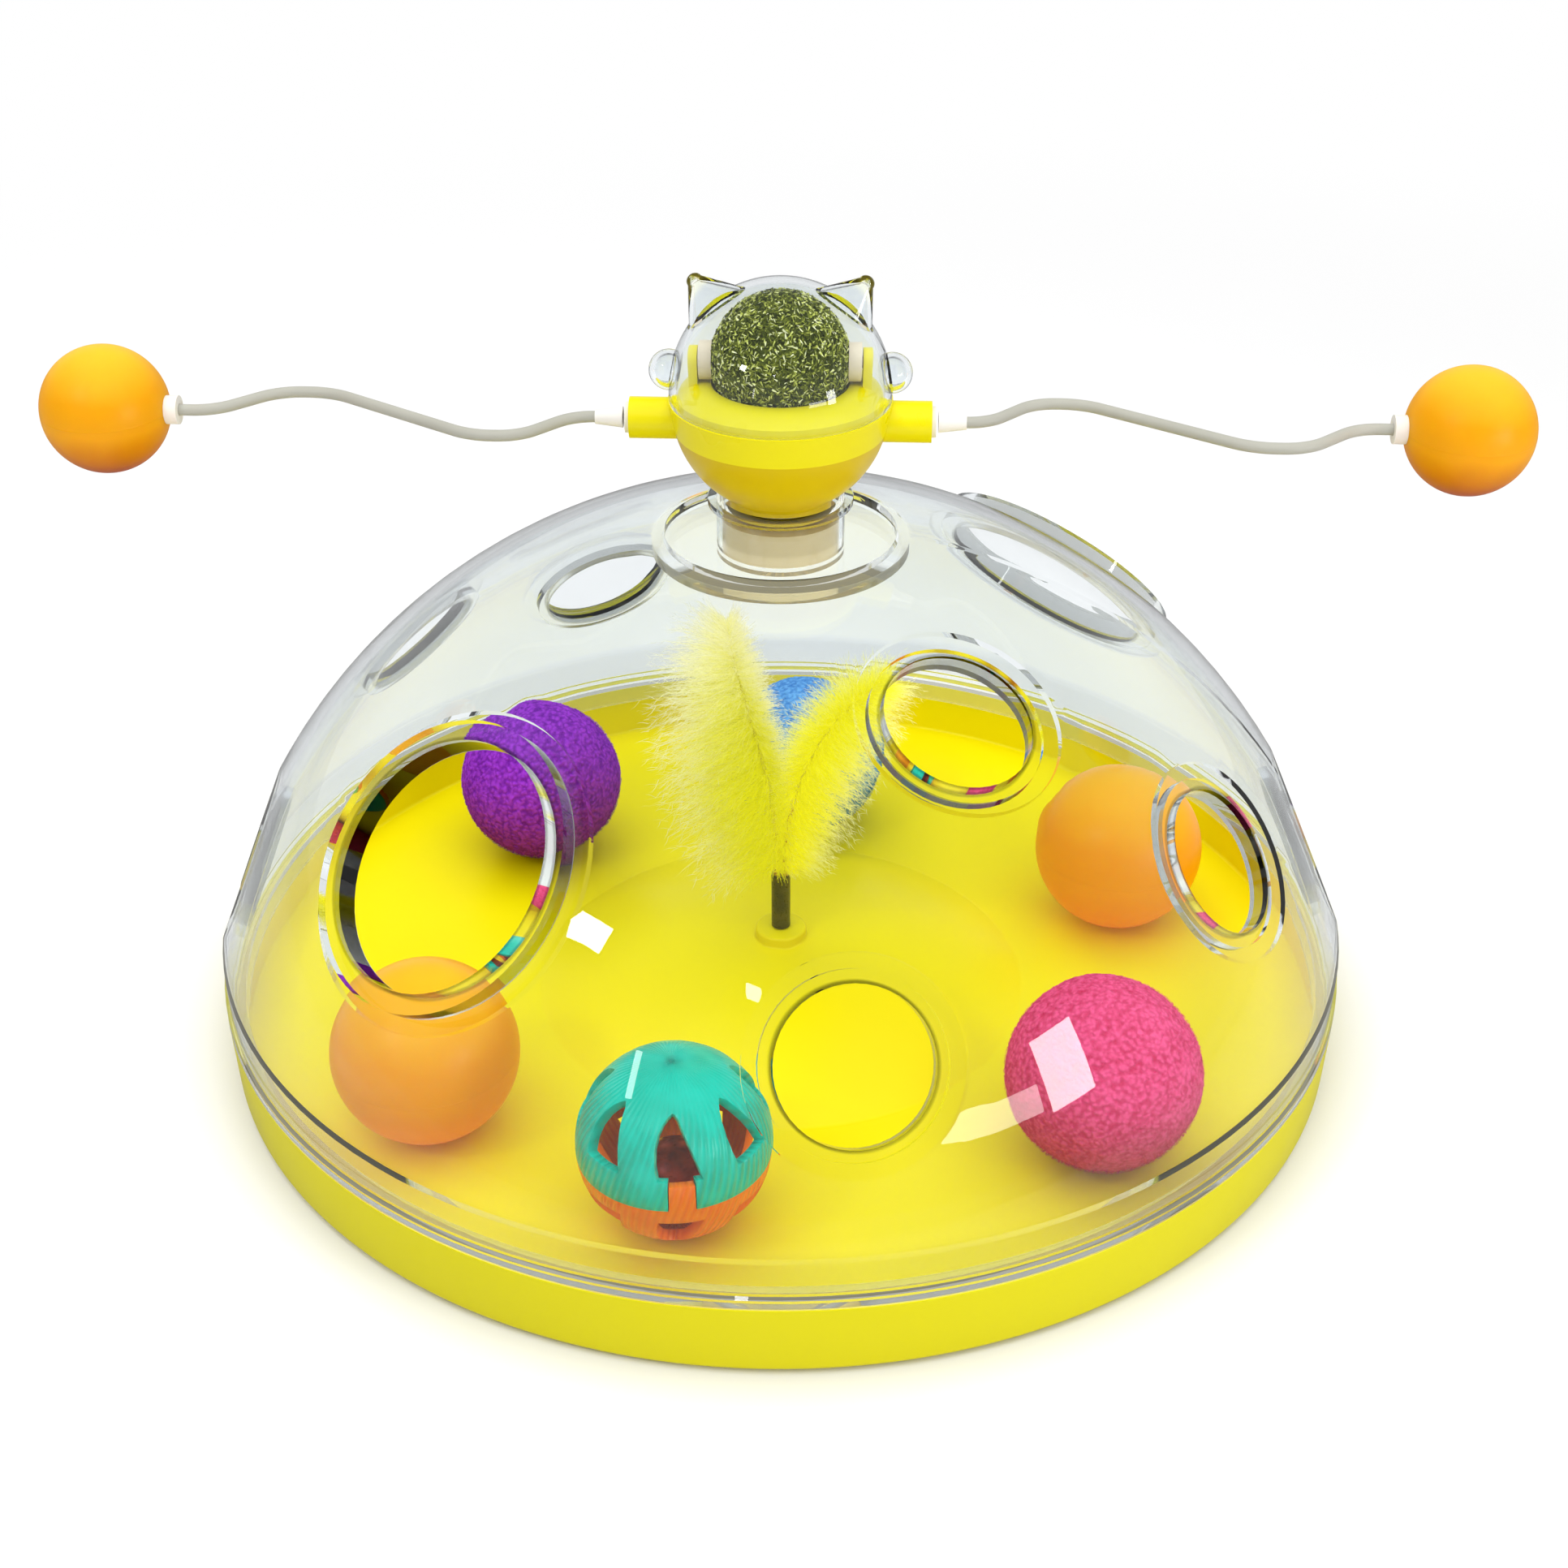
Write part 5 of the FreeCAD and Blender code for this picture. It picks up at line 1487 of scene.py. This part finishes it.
@dataclass
class Windmill:
    """The turning head: bowl and deck, its screw and washer, and the two balls on sprung wires."""

    # Painted shade: the bowl's yellow is darker than the deck's, most of all below its crease; beyond the
    # line, on the band above the crease, it is lighter.
    bowl: MouldedPlastic = MouldedPlastic("hub_yellow_bowl", paint(214, 186, 2), paint(208, 178, 2), 0.3,
                                          line=142.8, beyond=paint(224, 212, 2))
    deck: MouldedPlastic = MouldedPlastic("hub_yellow_deck", paint(235, 223, 3), paint(231, 217, 2), 0.3)
    steel: SheetMetal = SheetMetal("steel", paint(200, 200, 200), paint(170, 170, 172))
    brass: SheetMetal = SheetMetal("screw_brass", paint(214, 170, 80), paint(160, 118, 50), 0.2)
    white: MouldedPlastic = MouldedPlastic("white_plastic", paint(240, 236, 228), paint(230, 226, 218))
    wire: MouldedPlastic = MouldedPlastic("wire_white", paint(178, 177, 166), paint(166, 165, 154), 0.38,
                                          depth=0.003)
    # Painted light: the wire balls' lit top, plain middle and shaded bottom colours, with a faint painted
    # glow.
    ball: Table = (paint(252, 190, 46), paint(248, 160, 5), paint(158, 66, 3))

    def build(self) -> None:
        """Dress the head, then each arm: its plug, boot, cap, wire and ball."""
        dress(self.bowl, "hub_bowl")
        dress(self.deck, "hub_deck")
        dress(self.steel, "pivot_washer")
        dress(self.brass, "pivot_screw")
        for side in ("right", "left"):
            dress(self.white, f"wire_plug_{side}", f"wire_boot_{side}", f"wire_cap_{side}")
            dress(self.wire, f"arm_wire_{side}")
            node = f"wire_ball_{side}"
            dress(GlowingPlastic(f"ball_orange_{side}", *self.ball, *middle(node), 0.36, 0.02), node)


@dataclass
class CatnipHead:
    """The catnip ball on its two axle caps under the clear cover with ears."""

    flecks: Chopped = Chopped("catnip_flecks", (
        (0.0, paint(28, 32, 10)), (0.3, paint(86, 96, 30)), (0.5, paint(160, 168, 60)),
        (0.68, paint(224, 230, 112)), (0.86, paint(251, 251, 200))))
    caps: MouldedPlastic = MouldedPlastic("cap_beige", paint(236, 222, 196), paint(226, 210, 182))
    # The cover's ears get a painted pale yellow glow.
    clear: ClearPlastic = ClearPlastic("cover_clear", painted_milky_glow=(0.06, 0.05, 0.006),
                                       milky=(Zone(164.0, inner=22.3, heart=157.2),))

    def build(self) -> None:
        """Model the ball, and dress its caps and cover."""
        CatnipBall().build(self.flecks)
        dress(self.caps, "axle_cap_right", "axle_cap_left")
        dress(self.clear, "cat_cover")


# The studio


@dataclass(frozen=True)
class Lamp:
    """A soft lamp: its place and size in metres, its power in watts and the height that it points at."""

    name: str
    spot: Triple
    size: tuple[float, float]
    power: float
    aim: float = 0.05
    mirrored: bool = True

    def hang(self) -> None:
        """Hang the lamp, so that only its light and what mirrors it show."""
        data = bpy.data.lights.new(self.name, "AREA")
        data.shape = "RECTANGLE"
        data.size, data.size_y = self.size
        data.energy = self.power
        lamp = add(self.name, data)
        point(lamp, Vector(self.spot), Vector((0, 0, self.aim)) - Vector(self.spot))
        lamp.visible_camera = False
        lamp.visible_transmission = False
        lamp.visible_glossy = self.mirrored


@dataclass
class Studio:
    """A pale floor, soft lamps and a white surround, and the camera."""

    camera_turn: float = 2.42
    camera_lift: float = 31.206
    camera_away: float = 528.52
    lens: float = 53.494
    aim: Triple = (0.7245, 0.0, 56.107)
    fill: float = 0.32
    mirrored_front: float = 0.08
    mirrored_back: float = 0.5
    through_ceiling: float = 0.25
    floor_radius: float = 6.0
    floor_drop: float = 0.2
    floor_white: float = 0.86
    floor_mirrored: float = 0.25
    plain_from: float = 0.24
    plain_to: float = 0.75
    lamps: Sequence[Lamp] = (
        Lamp("overhead_lamp", (0.0, -0.2, 1.25), (2.0, 2.0), 25.0, 0.03, False),
        Lamp("window_right", (0.66, -0.46, 0.24), (0.13, 0.18), 1.2),
        Lamp("window_right_low", (0.52, -0.62, 0.20), (0.26, 0.07), 0.45),
        Lamp("window_left", (-0.50, -0.50, 0.66), (0.10, 0.08), 0.7),
        Lamp("window_front", (-0.06, -0.70, 0.63), (0.03, 0.04), 0.06),
        Lamp("window_slit", (-0.38, -0.80, 0.40), (0.02, 0.14), 0.1),
        Lamp("rear_lamp", (-0.5, 0.9, 0.75), (0.6, 0.4), 1.8, 0.06, False))

    def build(self) -> None:
        """Set up the camera, the floor, the world and the lamps."""
        self._camera()
        self._floor()
        self._world()
        for lamp in self.lamps:
            lamp.hang()

    def _camera(self) -> None:
        """Stand the camera where the picture was taken from."""
        back = facing(self.camera_turn, self.camera_lift)
        turn = math.radians(self.camera_turn)
        x, _, z = self.aim
        aim = Vector((x * math.cos(turn), x * math.sin(turn), z)) * MM
        data = bpy.data.cameras.new("camera")
        data.lens = self.lens
        data.sensor_width = 36.0
        data.clip_start = 0.01
        camera = add("camera", data)
        point(camera, aim + back * self.camera_away * MM, -back)
        bpy.context.scene.camera = camera

    def _floor(self) -> None:
        """Lay the floor, white from far off and open from below."""
        deselect()
        bpy.ops.mesh.primitive_circle_add(
            vertices=96, radius=self.floor_radius, fill_type="NGON", location=(0, 0, -self.floor_drop * MM))
        floor = bpy.context.object
        floor.name = "floor"
        graph = new_graph("pale_floor")
        place = graph.place()
        glass, mirror = graph.seen_through()
        seen = graph.ray(Ray.CAMERA) | mirror | glass
        far = graph.length("LENGTH", place).rise(self.plain_from, self.plain_to) * seen | mirror * 0.8
        tone = graph.blend(graph.noise(place, 60), (self.floor_white,) * 3, (self.floor_white * 0.99,) * 3)
        matt = graph.shader(tone, 0.9, Specular_IOR_Level=0.1)
        white = graph.node("ShaderNodeEmission", None, {
            "Color": WHITE, "Strength": 1 - mirror * (1 - self.floor_mirrored)})
        under = graph.signal("ShaderNodeNewGeometry", output="Backfacing")
        top = graph.mix(far, matt, white.outputs[0])
        floor.data.materials.append(graph.finish(graph.mix(under, top, graph.clear())))

    def _world(self) -> None:
        """Surround the toy with white, dimmer overhead and for the light on it."""
        world = bpy.data.worlds.new("studio")
        bpy.context.scene.world = world
        graph = Graph(world)
        _, back, up = graph.axes(graph.node("ShaderNodeTexCoord").outputs["Generated"])
        behind, ceiling = back.rise(0.05, 0.6), up.rise(0.15, 0.7)
        glass, mirror = graph.seen_through()
        shine = mirror * (self.mirrored_front + behind * (1 - ceiling) * self.mirrored_back)
        shine = shine + glass * (1 - ceiling * (1 - self.through_ceiling))
        strength = graph.ray(Ray.CAMERA) | shine + (1 - (mirror | glass)) * self.fill
        lit = graph.node("ShaderNodeBackground", None, {"Color": WHITE, "Strength": strength})
        graph.finish(lit.outputs[0])


def main() -> None:
    """Build the studio and every sub-assembly in order."""
    logging.basicConfig(level=logging.INFO, format="%(message)s")
    bpy.context.scene.view_settings.view_transform = "Standard"
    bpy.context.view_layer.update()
    Studio().build()

    TrackTray().build()
    HollowBall("plastic_ball_front").build()
    HollowBall("plastic_ball_side").build()
    FeltBall("pink", paint(255, 92, 148), paint(206, 22, 76), 11).build()
    FeltBall("purple", paint(172, 64, 222), paint(98, 18, 148), 12).build()
    FeltBall("blue", paint(118, 188, 246), paint(42, 114, 198), 13).build()
    BellBall().build()
    FeatherWand().build()
    ClearDome().build()
    Windmill().build()
    CatnipHead().build()

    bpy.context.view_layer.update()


if __name__ == "__main__":
    main()
